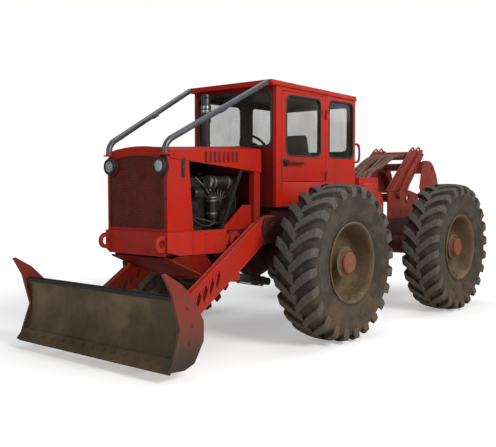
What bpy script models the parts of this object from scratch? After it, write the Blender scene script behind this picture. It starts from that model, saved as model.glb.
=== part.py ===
"""Cable skidder in metres, +X forward, +Y the machine's left, +Z up.

Stations along the machine are given from the front axle and moved by FRONT_AXLE_X,
which puts the middle of the whole machine over the origin.
"""
import math

import bmesh
import bpy
from mathutils import Matrix, Vector

GAP = 0.0003                 # between pieces that touch
CLEAR = 0.005                # between pieces that move past one another
RUN = 0.0006                 # round a pin

# Running gear
WHEELBASE = 2.61
TRACK_HALF = 1.15
TYRE_RADIUS = 0.8275
TYRE_WIDTH = 0.47
RIM_RADIUS = 0.425
RIM_PLANE = 0.198            # rim flange outboard of the tyre's middle
WHEEL_STEPS = 32
HUB_RADIUS = 0.118
HUB_REACH = 0.175              # hub cap outboard of the tyre's middle
HUB_DRUM_RADIUS = 0.16
HUB_DRUM_REACH = 0.118
HUB_BASE_RADIUS = 0.20
DISC_INSET = 0.07            # rim disc inboard of the tyre's middle
AXLE_TUBE = 0.115
AXLE_BULGE = 0.225
AXLE_FLANGE = 0.16
SHAFT_RADIUS = 0.04

# Front frame
RAIL_OUT = 0.37
RAIL_WALL = 0.04
RAIL_BOTTOM = 0.98
RAIL_TOP = 1.17
NOSE_X = 1.755
FRAME_REAR = -0.62
BUMPER_HALF = 0.45
BUMPER_TOP = 1.186
BUMPER_BOTTOM = 0.95
BUMPER_REAR = 0.955
BELLY_HALF = 0.42

# Nose and hood
NOSE_HALF = 0.43
NOSE_BOTTOM = BUMPER_TOP + GAP
NOSE_SHOULDER = 1.90
NOSE_CROWN = 0.055
HOOD_REAR = 0.379
HOOD_FRONT_Z = 1.955
HOOD_REAR_Z = 2.013
STRIP_FRONT_Z = 1.885
STRIP_REAR_Z = 1.767
SHEET = 0.012
LAMP_Y = 0.358
LAMP_Z = 1.812
LAMP_RADIUS = 0.082
LAMP_DEPTH = 0.05
STACK_X = 0.46
STACK_Y = -0.30
STACK_RADIUS = 0.05
STACK_TOP = 2.64
BAR_RADIUS = 0.03

# Cab
CAB_FRONT = 0.335
CAB_REAR = -1.225
CAB_HALF = 0.60
CAB_WALL = 0.04
CAB_SILL = 1.40
PEDESTAL = 0.30
FLOOR_THICK = 0.04
ROOF_FRONT = 0.424
ROOF_REAR = -1.235
ROOF_FRONT_Z = 2.74
ROOF_REAR_Z = 2.705
ROOF_THICK = 0.055
ROOF_HALF = CAB_HALF + 0.012
DOOR_FRONT = 0.24
DOOR_REAR = -0.59
DOOR_BOTTOM = 1.67
DOOR_TOP = 2.645
LEAF = 0.035
GLASS = 0.008
WINDOW_LOW = 1.955
WINDOW_HIGH = 2.61
WINDOW_CORNER = 0.06
SCREEN_HALF = 0.535
SCREEN_LOW = 2.05
HINGE_OFFSET = 0.012
HINGE_LINE = DOOR_REAR + CLEAR / 2
HINGE_HEIGHTS = (1.74, 2.44)

# Blade and its arms
PIVOT_X = 0.441
PIVOT_Z = 1.182
ARM_IN = 0.545
ARM_OUT = 0.615
ARM_EYE = 0.135
ARM_SLOPE = 0.638            # fall per metre
ARM_LOW_Z = 1.098            # lower edge, carried back to the pivot
ARM_DEPTH = 0.278            # upright depth of the beam
ARM_END_LOW = 0.17
ARM_END_HIGH = 0.40
LADDER_X = 1.22                # first opening between the beam's rungs
LADDER_Z = 0.775
LADDER_PITCH = 0.092
LADDER_COUNT = 5
LIFT_PIN = 0.018
CLEVIS_PLATE = 0.02
CLEVIS_GAP = 0.005
CLEVIS_RADIUS = 0.16
PIN_RADIUS = 0.04
BLADE_HALF = 1.095
BLADE_X = 2.387
BLADE_BOTTOM = 0.09
BLADE_TOP = 0.69
BLADE_PLATE = 0.03
END_PLATE = 0.03
LIFT_Y = 0.49
LIFT_FOOT = (0.35, 0.60)
LIFT_HEAD = (1.00, 0.72)
LIFT_BORE = 0.045
LIFT_ROD = 0.022

# Articulation and steering
HINGE_X = -WHEELBASE / 2
YOKE_LOW = 0.60
YOKE_HIGH = 1.06
YOKE_PLATE = 0.04
YOKE_RADIUS = 0.14
TONGUE_RADIUS = 0.11
KING_PIN = 0.045
STEER_Y = 0.22
STEER_Z = 0.83
STEER_FRONT_X = HINGE_X + 0.595
STEER_REAR_X = HINGE_X - 0.055
STEER_BORE = 0.042
STEER_ROD = 0.02

# Rear frame, winch and arch
REAR_HALF = 0.33
REAR_WALL = 0.04
REAR_FRONT_X = -1.62
REAR_END_X = -3.30
REAR_BOTTOM = 0.98
REAR_TOP = 1.17
WINCH_FRONT = REAR_FRONT_X
WINCH_REAR = -2.09
WINCH_HALF = 0.42
WINCH_TOP = 1.73
DRUM_X = -2.32
DRUM_Z = 1.42
DRUM_FLANGE = 0.19
DRUM_CORE = 0.15              # over the wound rope
DRUM_HALF = 0.25
ARCH_OUT = 0.34
ARCH_PLATE = 0.03
ARCH_FOOT = -2.52
ARCH_DECK = 1.575
ARCH_TOP = 2.145
ROLLER_RADIUS = 0.055
ROLLER_AT = (-3.62, 0, 1.90)

REAR_REACH = 3.85
FRONT_REACH = 2.43
FRONT_AXLE_X = (REAR_REACH - FRONT_REACH) / 2

PAINT = (0.53, 0.035, 0.02)
DARK_PAINT = (0.12, 0.014, 0.01)
STEEL = (0.10, 0.11, 0.12)
BLACK = (0.02, 0.02, 0.02)
RUBBER = (0.07, 0.065, 0.055)
RUST = (0.12, 0.07, 0.04)


def clear_scene():
    for obj in list(bpy.data.objects):
        bpy.data.objects.remove(obj)
    for collection in list(bpy.data.collections):
        bpy.data.collections.remove(collection)


def new_collection(name, hidden=False):
    made = bpy.data.collections.new(name)
    bpy.context.scene.collection.children.link(made)
    made.hide_render = hidden
    return made


clear_scene()
SKIDDER = new_collection("skidder")
CUTTERS = new_collection("cutters", True)


def paint(obj, colour, roughness=0.5, metallic=0.0):
    material = bpy.data.materials.new(obj.name)
    material.use_nodes = True
    shader = material.node_tree.nodes["Principled BSDF"]
    shader.inputs["Base Color"].default_value = (*colour, 1)
    shader.inputs["Roughness"].default_value = roughness
    shader.inputs["Metallic"].default_value = metallic
    obj.data.materials.clear()
    obj.data.materials.append(material)


def settle(obj, name):
    """Names the object and moves it from Blender's active collection into the skidder's."""
    obj.name = name
    obj.data.name = name
    for collection in list(obj.users_collection):
        collection.objects.unlink(obj)
    SKIDDER.objects.link(obj)
    return obj


def as_mesh(obj):
    """The object as one plain mesh in world space, with its modifiers applied."""
    bpy.context.view_layer.update()
    graph = bpy.context.evaluated_depsgraph_get()
    mesh = bpy.data.meshes.new_from_object(obj.evaluated_get(graph), depsgraph=graph)
    mesh.transform(obj.matrix_world)
    name = obj.name
    bpy.data.objects.remove(obj)
    made = bpy.data.objects.new(name, mesh)
    SKIDDER.objects.link(made)
    weld(made)
    return made


def weld(obj):
    form = bmesh.new()
    form.from_mesh(obj.data)
    bmesh.ops.remove_doubles(form, verts=form.verts, dist=1e-6)
    bmesh.ops.recalc_face_normals(form, faces=form.faces)
    form.to_mesh(obj.data)
    form.free()


def box(name, xs, ys, zs):
    """A block between two stations, two widths and two heights."""
    bpy.ops.mesh.primitive_cube_add(size=1)
    obj = settle(bpy.context.object, name)
    middle = [(a + b) / 2 for a, b in (xs, ys, zs)]
    size = [abs(b - a) for a, b in (xs, ys, zs)]
    obj.data.transform(Matrix.Translation((middle[0] + FRONT_AXLE_X, middle[1],
        middle[2])) @ Matrix.Diagonal((*size, 1)))
    return obj


def flat(name, outline, thick, holes=()):
    """A flat outline in its own XY plane, extruded to the thickness about that plane."""
    data = bpy.data.curves.new(name, "CURVE")
    data.dimensions = "2D"
    data.fill_mode = "BOTH"
    data.extrude = thick / 2
    for points in (outline, *holes):
        spline = data.splines.new("POLY")
        spline.points.add(len(points) - 1)
        for point, (u, v) in zip(spline.points, points):
            point.co = (u, v, 0, 1)
        spline.use_cyclic_u = True
    obj = bpy.data.objects.new(name, data)
    SKIDDER.objects.link(obj)
    return obj


def side_plate(name, outline, ys, holes=()):
    """A plate whose outline is (station, height), standing between two widths."""
    obj = flat(name, outline, abs(ys[1] - ys[0]), holes)
    turn = Matrix.Rotation(math.pi / 2, 4, "X")
    obj.matrix_world = Matrix.Translation((FRONT_AXLE_X, (ys[0] + ys[1]) / 2, 0)) @ turn
    return as_mesh(obj)


def cross_plate(name, outline, xs, holes=()):
    """A plate whose outline is (width, height), standing between two stations."""
    obj = flat(name, outline, abs(xs[1] - xs[0]), holes)
    turn = Matrix(((0, 0, 1, 0), (1, 0, 0, 0), (0, 1, 0, 0), (0, 0, 0, 1)))
    obj.matrix_world = Matrix.Translation((FRONT_AXLE_X + (xs[0] + xs[1]) / 2, 0, 0)) @ turn
    return as_mesh(obj)


def deck_plate(name, outline, zs, holes=()):
    """A level plate whose outline is (station, width), between two heights."""
    obj = flat(name, outline, abs(zs[1] - zs[0]), holes)
    obj.matrix_world = Matrix.Translation((FRONT_AXLE_X, 0, (zs[0] + zs[1]) / 2))
    return as_mesh(obj)


def turned(name, profile, at, axis="Y", steps=WHEEL_STEPS, closed=False, flat_down=True):
    """A turned piece: (radius, distance along the axis) points, from its top to its bottom."""
    data = bpy.data.meshes.new(name)
    last = len(profile) - 1
    edges = [(i, i + 1) for i in range(last)] + ([(last, 0)] if closed else [])
    stretch = 1 / math.cos(math.pi / steps) if flat_down else 1
    data.from_pydata([(r * stretch, 0, d) for r, d in profile], edges, [])
    obj = bpy.data.objects.new(name, data)
    SKIDDER.objects.link(obj)
    screw = obj.modifiers.new("Screw", "SCREW")
    screw.axis = "Z"
    screw.steps = steps
    screw.render_steps = steps
    screw.use_merge_vertices = True
    screw.merge_threshold = 0.0001
    half = Matrix.Rotation(math.pi / steps if flat_down else 0, 4, "Z")
    turns = {
        "Z": Matrix.Identity(4),
        "Y": Matrix.Rotation(-math.pi / 2, 4, "X") @ Matrix.Rotation(math.pi / 2, 4, "Z"),
        "X": Matrix.Rotation(math.pi / 2, 4, "Y"),
    }
    obj.matrix_world = Matrix.Translation((at[0] + FRONT_AXLE_X, at[1], at[2])) @ turns[axis] @ half
    return as_mesh(obj)


def rod(name, start, end, radius, steps=16):
    """A round bar between two points."""
    a = [start[0] + FRONT_AXLE_X, start[1], start[2]]
    b = [end[0] + FRONT_AXLE_X, end[1], end[2]]
    reach = math.dist(a, b)
    bpy.ops.mesh.primitive_cylinder_add(vertices=steps, radius=radius, depth=reach)
    obj = settle(bpy.context.object, name)
    along = [(q - p) / reach for p, q in zip(a, b)]
    turn = Vector((0, 0, 1)).rotation_difference(Vector(along)).to_matrix().to_4x4()
    middle = [(p + q) / 2 for p, q in zip(a, b)]
    obj.data.transform(Matrix.Translation(middle) @ turn)
    return obj


def tube(name, points, radius, sides=2):
    """A bent tube through points joined by straight runs with short bends."""
    data = bpy.data.curves.new(name, "CURVE")
    data.dimensions = "3D"
    data.bevel_depth = radius
    data.bevel_resolution = sides
    data.use_fill_caps = True
    spline = data.splines.new("POLY")
    spline.points.add(len(points) - 1)
    for point, (x, y, z) in zip(spline.points, points):
        point.co = (x + FRONT_AXLE_X, y, z, 1)
    obj = bpy.data.objects.new(name, data)
    SKIDDER.objects.link(obj)
    return as_mesh(obj)


def combine(target, others, operation):
    for other in others:
        for collection in list(other.users_collection):
            collection.objects.unlink(other)
        CUTTERS.objects.link(other)
        other.hide_render = True
        other.display_type = "WIRE"
        modifier = target.modifiers.new(operation.lower(), "BOOLEAN")
        modifier.operation = operation
        modifier.solver = "EXACT"
        modifier.object = other
    return target


def join(target, *others):
    return combine(target, others, "UNION")


def cut(target, *others):
    return combine(target, others, "DIFFERENCE")


def arc(centre, radius, first, last, steps):
    """Points on an arc, angles in degrees."""
    made = []
    for i in range(steps + 1):
        angle = math.radians(first + (last - first) * i / steps)
        made.append((centre[0] + radius * math.cos(angle), centre[1] + radius * math.sin(angle)))
    return made


def rounded(us, vs, radius, inset=0.0, steps=3):
    """A rectangle with round corners, drawn in by the inset."""
    u0, u1 = us[0] + inset, us[1] - inset
    v0, v1 = vs[0] + inset, vs[1] - inset
    r = radius - inset
    points = arc((u1 - r, v0 + r), r, -90, 0, steps)
    points += arc((u1 - r, v1 - r), r, 0, 90, steps)
    points += arc((u0 + r, v1 - r), r, 90, 180, steps)
    points += arc((u0 + r, v0 + r), r, 180, 270, steps)
    return points


def roof_under(x):
    """Height of the roof's underside at a station."""
    share = (ROOF_FRONT - x) / (ROOF_FRONT - ROOF_REAR)
    return ROOF_FRONT_Z + (ROOF_REAR_Z - ROOF_FRONT_Z) * share - ROOF_THICK


# Wheels -----------------------------------------------------------------------

def tyre_profile():
    half = TYRE_WIDTH / 2
    outer = TYRE_RADIUS
    bead = RIM_RADIUS - 0.015
    return [
        (bead, half - 0.05),
        (RIM_RADIUS + 0.02, half - 0.05),
        (0.62, half),
        (0.72, half - 0.005),
        (outer - 0.045, half - 0.03),
        (outer - 0.012, half - 0.10),
        (outer, 0.06),
        (outer, -0.06),
        (outer - 0.012, -half + 0.10),
        (outer - 0.045, -half + 0.03),
        (0.72, -half + 0.005),
        (0.62, -half),
        (RIM_RADIUS + 0.02, -half + 0.05),
        (bead, -half + 0.05),
    ]


def rim_profile():
    """Rim ring with its disc, outboard side first; the bead seats lie just inside the tyre."""
    seat = RIM_RADIUS - 0.015 - GAP
    inner = seat - 0.025
    edge = TYRE_WIDTH / 2 - 0.05 + GAP
    lip = RIM_PLANE + 0.008
    disc = -DISC_INSET
    return [
        (RIM_RADIUS, lip),
        (RIM_RADIUS, edge),
        (seat, edge),
        (seat, -edge),
        (RIM_RADIUS, -edge),
        (RIM_RADIUS, -lip),
        (inner + 0.01, -lip),
        (inner, disc - 0.02),
        (HUB_RADIUS - 0.02, disc - 0.02),
        (HUB_RADIUS - 0.02, disc),
        (inner, disc),
        (inner + 0.01, lip),
    ]


def hub_profile():
    disc = -DISC_INSET
    return [
        (0, HUB_REACH),
        (HUB_RADIUS - 0.012, HUB_REACH),
        (HUB_RADIUS, HUB_REACH - 0.015),
        (HUB_RADIUS, HUB_DRUM_REACH),
        (HUB_DRUM_RADIUS, HUB_DRUM_REACH - 0.004),
        (HUB_DRUM_RADIUS, disc + 0.035),
        (HUB_BASE_RADIUS, disc + 0.02),
        (HUB_BASE_RADIUS, disc - 0.01),
        (HUB_RADIUS, disc - 0.01),
        (HUB_RADIUS, disc - 0.06),
        (0, disc - 0.06),
    ]


HUB_BACK = -DISC_INSET - 0.06


def wheel(name, x, side):
    at = (x, side * TRACK_HALF, TYRE_RADIUS)
    made = []
    for what, profile, closed in (("tyre", tyre_profile(), True), ("rim", rim_profile(), True),
            ("hub", hub_profile(), False)):
        shape = [(r, side * d) for r, d in profile]
        if side < 0:
            shape.reverse()
        made.append(turned(f"{what}_{name}", shape, at, closed=closed))
    tyre, rim, hub = made
    paint(tyre, RUBBER, 0.85)
    join(rim, hub)
    paint(as_mesh(rim), RUST, 0.7, 0.2)


def axle_profile(end):
    return [
        (0, end),
        (AXLE_FLANGE, end),
        (AXLE_FLANGE, end - 0.04),
        (AXLE_TUBE, end - 0.07),
        (AXLE_TUBE, 0.28),
        (AXLE_BULGE - 0.05, 0.18),
        (AXLE_BULGE, 0.09),
    ]


def axle(name, x, shaft_end):
    """Axle housing across the machine, with the driveshaft that reaches it."""
    end = TRACK_HALF + HUB_BACK - GAP
    half = axle_profile(end)
    profile = half + [(r, -d) for r, d in reversed(half)]
    obj = turned(name, profile, (x, 0, TYRE_RADIUS))
    join(obj, rod("driveshaft", (shaft_end, 0, TYRE_RADIUS), (x, 0, TYRE_RADIUS), SHAFT_RADIUS))
    paint(as_mesh(obj), DARK_PAINT, 0.6)


def saddle(name, x, wall, bottom):
    """A pad on the axle tube under a frame rail, hollowed to the tube."""
    made = []
    for side in (1, -1):
        pad = box(f"{name}_{side}", (x - 0.10, x + 0.10), (side * wall[0], side * wall[1]),
            (TYRE_RADIUS, bottom + 0.01))
        radius = AXLE_TUBE + 0.0004
        shape = [(0, 0.5), (radius, 0.5), (radius, -0.5), (0, -0.5)]
        cut(pad, turned(f"{name}_bed_{side}", shape, (x, 0, TYRE_RADIUS)))
        made.append(as_mesh(pad))
    return made


# Front frame ------------------------------------------------------------------

def front_frame():
    rails = []
    inner = RAIL_OUT - RAIL_WALL
    for side in (1, -1):
        rails.append(box(f"rail_{side}", (FRAME_REAR, NOSE_X - 0.03), (side * inner, side * RAIL_OUT),
            (RAIL_BOTTOM, RAIL_TOP)))
    frame = rails[0]
    frame.name = "front_frame"
    others = [rails[1]]
    for x in (1.60, 0.62):
        others.append(box("cross", (x, x + 0.08), (-RAIL_OUT + 0.01, RAIL_OUT - 0.01),
            (RAIL_BOTTOM + 0.01, RAIL_BOTTOM + 0.09)))
    others.append(cross_plate("bulkhead", [
        (-RAIL_OUT, YOKE_LOW), (RAIL_OUT, YOKE_LOW), (RAIL_OUT, RAIL_TOP), (-RAIL_OUT, RAIL_TOP),
    ], (FRAME_REAR - 0.03, FRAME_REAR + 0.01)))
    yoke = [(FRAME_REAR - 0.01, RAIL_OUT - 0.01), (HINGE_X + 0.12, YOKE_RADIUS)]
    yoke += arc((HINGE_X, 0), YOKE_RADIUS, 90, 270, 10)
    yoke += [(HINGE_X + 0.12, -YOKE_RADIUS), (FRAME_REAR - 0.01, -RAIL_OUT + 0.01)]
    for low in (YOKE_LOW, YOKE_HIGH - YOKE_PLATE):
        others.append(deck_plate("yoke", yoke, (low, low + YOKE_PLATE)))
    for side in (1, -1):
        for z in (STEER_Z + 0.034, STEER_Z - 0.034 - 0.02):
            others.append(steer_lug(side, z, STEER_FRONT_X, FRAME_REAR - 0.02))
        pin_at = (STEER_FRONT_X, side * STEER_Y)
        others.append(rod("steer_pin", (*pin_at, STEER_Z - 0.06), (*pin_at, STEER_Z + 0.06), 0.02))
        others.append(box("lift_lug", (LIFT_FOOT[0] - 0.05, LIFT_FOOT[0] + 0.05),
            (side * 0.31, side * 0.36), (LIFT_FOOT[1] - 0.05, RAIL_BOTTOM + 0.01)))
        others.append(rod("lift_pin", (LIFT_FOOT[0], side * 0.35, LIFT_FOOT[1]), (LIFT_FOOT[0],
            side * (LIFT_Y + 0.03), LIFT_FOOT[1]), 0.02))
        others += arm_bracket(side)
    others += saddle("front_saddle", 0, (inner + 0.002, RAIL_OUT - 0.002), RAIL_BOTTOM)
    others.append(rod("king_pin", (HINGE_X, 0, YOKE_LOW - 0.02), (HINGE_X, 0, YOKE_HIGH + 0.02),
        KING_PIN, 24))
    join(frame, *others)
    paint(as_mesh(frame), DARK_PAINT, 0.6)


def steer_lug(side, z, x, root):
    sign = 1 if root > x else -1
    outline = [(root, -0.05), (root, 0.05)] + [(x + 0.05 * math.cos(a), 0.05 * math.sin(a))
        for a in [math.pi / 2 + sign * math.pi * i / 8 for i in range(9)]]
    outline = [(u, v + side * STEER_Y) for u, v in outline]
    return deck_plate("lug", outline, (z, z + 0.02))


def bumper():
    drop = 0.05
    front = cross_plate("bumper", [
        (-BUMPER_HALF, BUMPER_BOTTOM + drop), (-BUMPER_HALF + 0.06, BUMPER_BOTTOM + 0.01),
        (BUMPER_HALF - 0.06, BUMPER_BOTTOM + 0.01),
        (BUMPER_HALF, BUMPER_BOTTOM + drop), (BUMPER_HALF, BUMPER_TOP), (-BUMPER_HALF, BUMPER_TOP),
    ], (NOSE_X - 0.02, NOSE_X + 0.02))
    others = []
    for side in (1, -1):
        ys = (side * (RAIL_OUT + GAP), side * BUMPER_HALF)
        others.append(side_plate("side_bar", [
            (NOSE_X, BUMPER_TOP), (BUMPER_REAR, BUMPER_TOP), (BUMPER_REAR, BUMPER_BOTTOM),
            (1.61, BUMPER_BOTTOM + 0.01), (NOSE_X, BUMPER_BOTTOM + drop),
        ], ys))
        eye = [(NOSE_X, 1.0), (NOSE_X, 1.16)] + arc((NOSE_X + 0.055, 1.08), 0.08, 90, -90, 10)
        ring = arc((NOSE_X + 0.06, 1.08), 0.04, 0, 330, 11)
        others.append(side_plate("front_eye", eye, (side * 0.385, side * 0.42), [ring]))
        lug = arc((0.80, 1.07), 0.085, 0, 345, 23)
        hole = arc((0.80, 1.07), 0.032, 0, 330, 11)
        others.append(side_plate("side_eye", lug, (side * (RAIL_OUT + GAP),
            side * (BUMPER_HALF - 0.01)), [hole]))
        others.append(box("eye_link", (0.87, BUMPER_REAR + 0.01), (side * (RAIL_OUT + 0.01),
            side * 0.41), (1.03, 1.13)))
    join(front, *others)
    paint(as_mesh(front), PAINT, 0.45)


def belly_pan():
    top = [(1.19, 0.6985), (0.45, 0.60), (0.33, 0.60)]
    outline = top + [(x, z - 0.02) for x, z in reversed(top)]
    pan = side_plate("belly_pan", outline, (-0.295, 0.295))
    wide = side_plate("pan_front", [(NOSE_X - 0.03, 0.94), (1.15, 0.70), (1.15, 0.68), (NOSE_X - 0.03,
        0.92)], (-BELLY_HALF, BELLY_HALF))
    others = [wide]
    for side in (1, -1):
        cheek = [(NOSE_X - 0.03, 0.935), (NOSE_X - 0.03, RAIL_BOTTOM - GAP), (1.22, RAIL_BOTTOM - GAP),
            (1.10, 0.80), (1.17, 0.70)]
        others.append(side_plate("cheek", cheek, (side * (RAIL_OUT - 0.02), side * (RAIL_OUT - 0.005))))
        skirt = [(1.70, 0.925), (1.62, BUMPER_BOTTOM - GAP * 3), (1.24, BUMPER_BOTTOM - GAP * 3),
            (1.11, 0.80), (1.18, 0.695)]
        others.append(side_plate("skirt", skirt, (side * (BELLY_HALF - 0.02), side * BELLY_HALF)))
    join(pan, *others)
    paint(as_mesh(pan), PAINT, 0.5)


def arm_bracket(side):
    """The pieces of the clevis that holds one blade arm beside the frame."""
    outline = [(0.10, 1.0), (PIVOT_X, PIVOT_Z - CLEVIS_RADIUS)]
    outline += arc((PIVOT_X, PIVOT_Z), CLEVIS_RADIUS, -90, 45, 8)
    outline += [(PIVOT_X, 1.30), (-0.38, 1.28), (-0.38, 1.0)]
    outer = side_plate("outer", outline, (side * (ARM_OUT + CLEAR),
        side * (ARM_OUT + CLEAR + CLEVIS_PLATE)))
    inner = side_plate("inner", outline, (side * (ARM_IN - CLEAR - CLEVIS_PLATE), side * (ARM_IN - CLEAR)))
    web = box("web", (-0.37, 0.16), (side * (RAIL_OUT - 0.01), side * (ARM_OUT + CLEAR + 0.01)),
        (1.01, 1.165))
    roof = box("cover", (-0.37, 0.20), (side * (ARM_IN - CLEAR - 0.01),
        side * (ARM_OUT + CLEAR + 0.01)), (1.255, 1.275))
    pin = rod("pin", (PIVOT_X, side * (ARM_IN - 0.015), PIVOT_Z), (PIVOT_X, side * (ARM_OUT + 0.04),
        PIVOT_Z), PIN_RADIUS, 24)
    return [outer, inner, web, roof, pin]


# Nose, hood and engine ----------------------------------------------------------

def crown(half, shoulder, rise, steps=10):
    """Arch over a width, from left to right."""
    radius = (half * half + rise * rise) / (2 * rise)
    reach = math.degrees(math.asin(half / radius))
    return arc((0, shoulder + rise - radius), radius, 90 - reach, 90 + reach, steps)


def nose():
    outer = [(-NOSE_HALF, NOSE_BOTTOM), (NOSE_HALF, NOSE_BOTTOM)] + crown(NOSE_HALF, NOSE_SHOULDER,
        NOSE_CROWN)
    edge = 0.035
    window = [(-NOSE_HALF + edge, NOSE_BOTTOM + edge), (NOSE_HALF - edge, NOSE_BOTTOM + edge)]
    window += crown(NOSE_HALF - edge, NOSE_SHOULDER - edge, NOSE_CROWN * 0.85)
    front = cross_plate("nose_shell", outer, (NOSE_X - 0.03, NOSE_X), [window])
    others = []
    for side in (1, -1):
        panel = [(NOSE_X - 0.01, NOSE_BOTTOM), (NOSE_X - 0.01, NOSE_SHOULDER - 0.02),
            (1.47, STRIP_FRONT_Z - 0.025 - GAP), (1.41, NOSE_BOTTOM)]
        others.append(side_plate("panel", panel, (side * (NOSE_HALF - 0.015), side * NOSE_HALF)))
        others.append(box("sill", (1.41, NOSE_X - 0.02), (side * (RAIL_OUT - 0.03),
            side * (NOSE_HALF - 0.01)), (NOSE_BOTTOM, NOSE_BOTTOM + 0.02)))
    join(front, *others)
    paint(as_mesh(front), PAINT, 0.4)
    inside = [(u * (1 - GAP / 0.39), v) for u, v in window]
    inside = [(u, v + (GAP if v < NOSE_BOTTOM + edge + 0.01 else -GAP)) for u, v in inside]
    grille = cross_plate("grille", inside, (NOSE_X - 0.028, NOSE_X - 0.008))
    paint(grille, DARK_PAINT, 0.6)


def headlight(side):
    name = "left" if side > 0 else "right"
    face = LAMP_RADIUS - 0.012
    profile = [(0, LAMP_DEPTH), (face, LAMP_DEPTH), (LAMP_RADIUS, LAMP_DEPTH - 0.01), (LAMP_RADIUS, 0),
        (0, 0)]
    obj = turned(f"headlight_{name}", profile, (NOSE_X + GAP, side * LAMP_Y, LAMP_Z), "X", 20)
    paint(obj, DARK_PAINT, 0.4, 0.5)


def hood():
    front = NOSE_X - 0.03 - GAP
    slope = math.atan2(HOOD_REAR_Z - HOOD_FRONT_Z, front - HOOD_REAR)
    length = (front - HOOD_REAR) / math.cos(slope)
    rise = 0.045
    outer = [(NOSE_HALF, -0.35)] + crown(NOSE_HALF, 0, rise) + [(-NOSE_HALF, -0.35)]
    inner = [(-NOSE_HALF + SHEET, -0.35)] + list(reversed(crown(NOSE_HALF - SHEET, -SHEET, rise))) + [
        (NOSE_HALF - SHEET, -0.35)]
    obj = flat("hood", outer + inner, length)
    turn = Matrix(((0, 0, 1, 0), (1, 0, 0, 0), (0, 1, 0, 0), (0, 0, 0, 1)))
    lean = Matrix.Rotation(slope, 4, "Y")
    middle = ((front + HOOD_REAR) / 2 + FRONT_AXLE_X, 0, (HOOD_FRONT_Z + HOOD_REAR_Z) / 2)
    obj.matrix_world = Matrix.Translation(middle) @ lean @ turn
    obj = as_mesh(obj)
    past = 0.3
    drop = past * (STRIP_FRONT_Z - STRIP_REAR_Z) / (front - HOOD_REAR)
    below = [
        (front + past, STRIP_FRONT_Z + drop), (HOOD_REAR - past, STRIP_REAR_Z - drop),
        (HOOD_REAR - past, NOSE_BOTTOM), (front + past, NOSE_BOTTOM),
    ]
    cut(obj, side_plate("strip_edge", below, (-0.6, 0.6)))
    cut(obj, rod("stack_hole", (STACK_X, STACK_Y, 1.7), (STACK_X, STACK_Y, 2.3), STACK_RADIUS + 0.01, 24))
    trim = box("square_front", (front, front + 0.2), (-0.6, 0.6), (1.7, 2.2))
    cut(obj, trim)
    paint(as_mesh(obj), PAINT, 0.4)


def engine():
    """One block at its place and size, with the radiator, filter and air cleaner that it carries."""
    block = box("engine", (0.60, 1.40), (-0.24, 0.24), (1.12, 1.70))
    others = []
    for x in (0.68, 1.22):
        others.append(box("mount", (x, x + 0.10), (-RAIL_OUT + 0.02, RAIL_OUT - 0.02), (RAIL_TOP + GAP,
            RAIL_TOP + 0.05)))
    others.append(box("radiator", (1.60, 1.68), (-0.325, 0.325), (RAIL_TOP + GAP, 1.85)))
    others.append(rod("fan_shaft", (1.38, 0, 1.50), (1.62, 0, 1.50), 0.05))
    others.append(rod("canister", (1.02, 0.31, 1.30), (1.02, 0.31, 1.50), 0.055, 20))
    others.append(box("canister_arm", (0.99, 1.05), (0.23, 0.30), (1.42, 1.48)))
    others.append(rod("air_cleaner", (0.78, 0.32, 1.66), (1.10, 0.32, 1.66), 0.065, 20))
    others.append(box("cleaner_arm", (0.88, 1.0), (0.23, 0.30), (1.60, 1.68)))
    join(block, *others)
    paint(as_mesh(block), BLACK, 0.5, 0.3)


def exhaust():
    stack = rod("exhaust_stack", (STACK_X, STACK_Y, 1.50), (STACK_X, STACK_Y, STACK_TOP),
        STACK_RADIUS - 0.006, 20)
    others = [rod("sleeve", (STACK_X, STACK_Y, 2.33), (STACK_X, STACK_Y, STACK_TOP - 0.005),
        STACK_RADIUS, 20)]
    others.append(rod("elbow", (STACK_X, STACK_Y, 1.52), (0.61, -0.235, 1.52), 0.03, 12))
    join(stack, *others)
    cut(stack, rod("bore", (STACK_X, STACK_Y, STACK_TOP - 0.15), (STACK_X, STACK_Y, STACK_TOP + 0.1),
        STACK_RADIUS - 0.012, 20))
    cut(stack, box("engine_face", (0.60 - GAP, 1.4), (-0.24 - GAP, 0.24), (1.3, 1.7)))
    paint(as_mesh(stack), STEEL, 0.35, 0.8)


def hood_frame():
    """Posts behind the engine with their gussets, struts down to the bumper, and the beam that ties them."""
    beam = box("hood_frame", (HOOD_REAR + 0.004, 0.412), (-0.36, 0.36), (STRIP_REAR_Z, STRIP_REAR_Z + 0.04))
    others = []
    skin = NOSE_HALF - SHEET - GAP
    for side in (1, -1):
        low = RAIL_TOP + GAP
        others.append(box("post", (HOOD_REAR + 0.002, 0.475), (side * 0.345, side * skin),
            (low, STRIP_REAR_Z + 0.05)))
        gusset = [(0.46, low), (0.94, low), (0.60, 1.424), (0.46, 1.424)]
        others.append(side_plate("gusset", gusset, (side * (RAIL_OUT - 0.018), side * (RAIL_OUT - 0.004))))
        half = 0.025
        foot = BUMPER_TOP + GAP
        outline = [(0.986 - half, foot), (0.986 + half, foot), (0.70, 1.80), (0.65, 1.80)]
        others.append(side_plate("strut", outline, (side * 0.395, side * (skin - 0.001))))
        others.append(box("rail", (0.45, 0.69), (side * 0.385, side * (skin - 0.002)),
            (STRIP_REAR_Z + 0.01, STRIP_REAR_Z + 0.028)))
    join(beam, *others)
    paint(as_mesh(beam), PAINT, 0.45)


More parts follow.
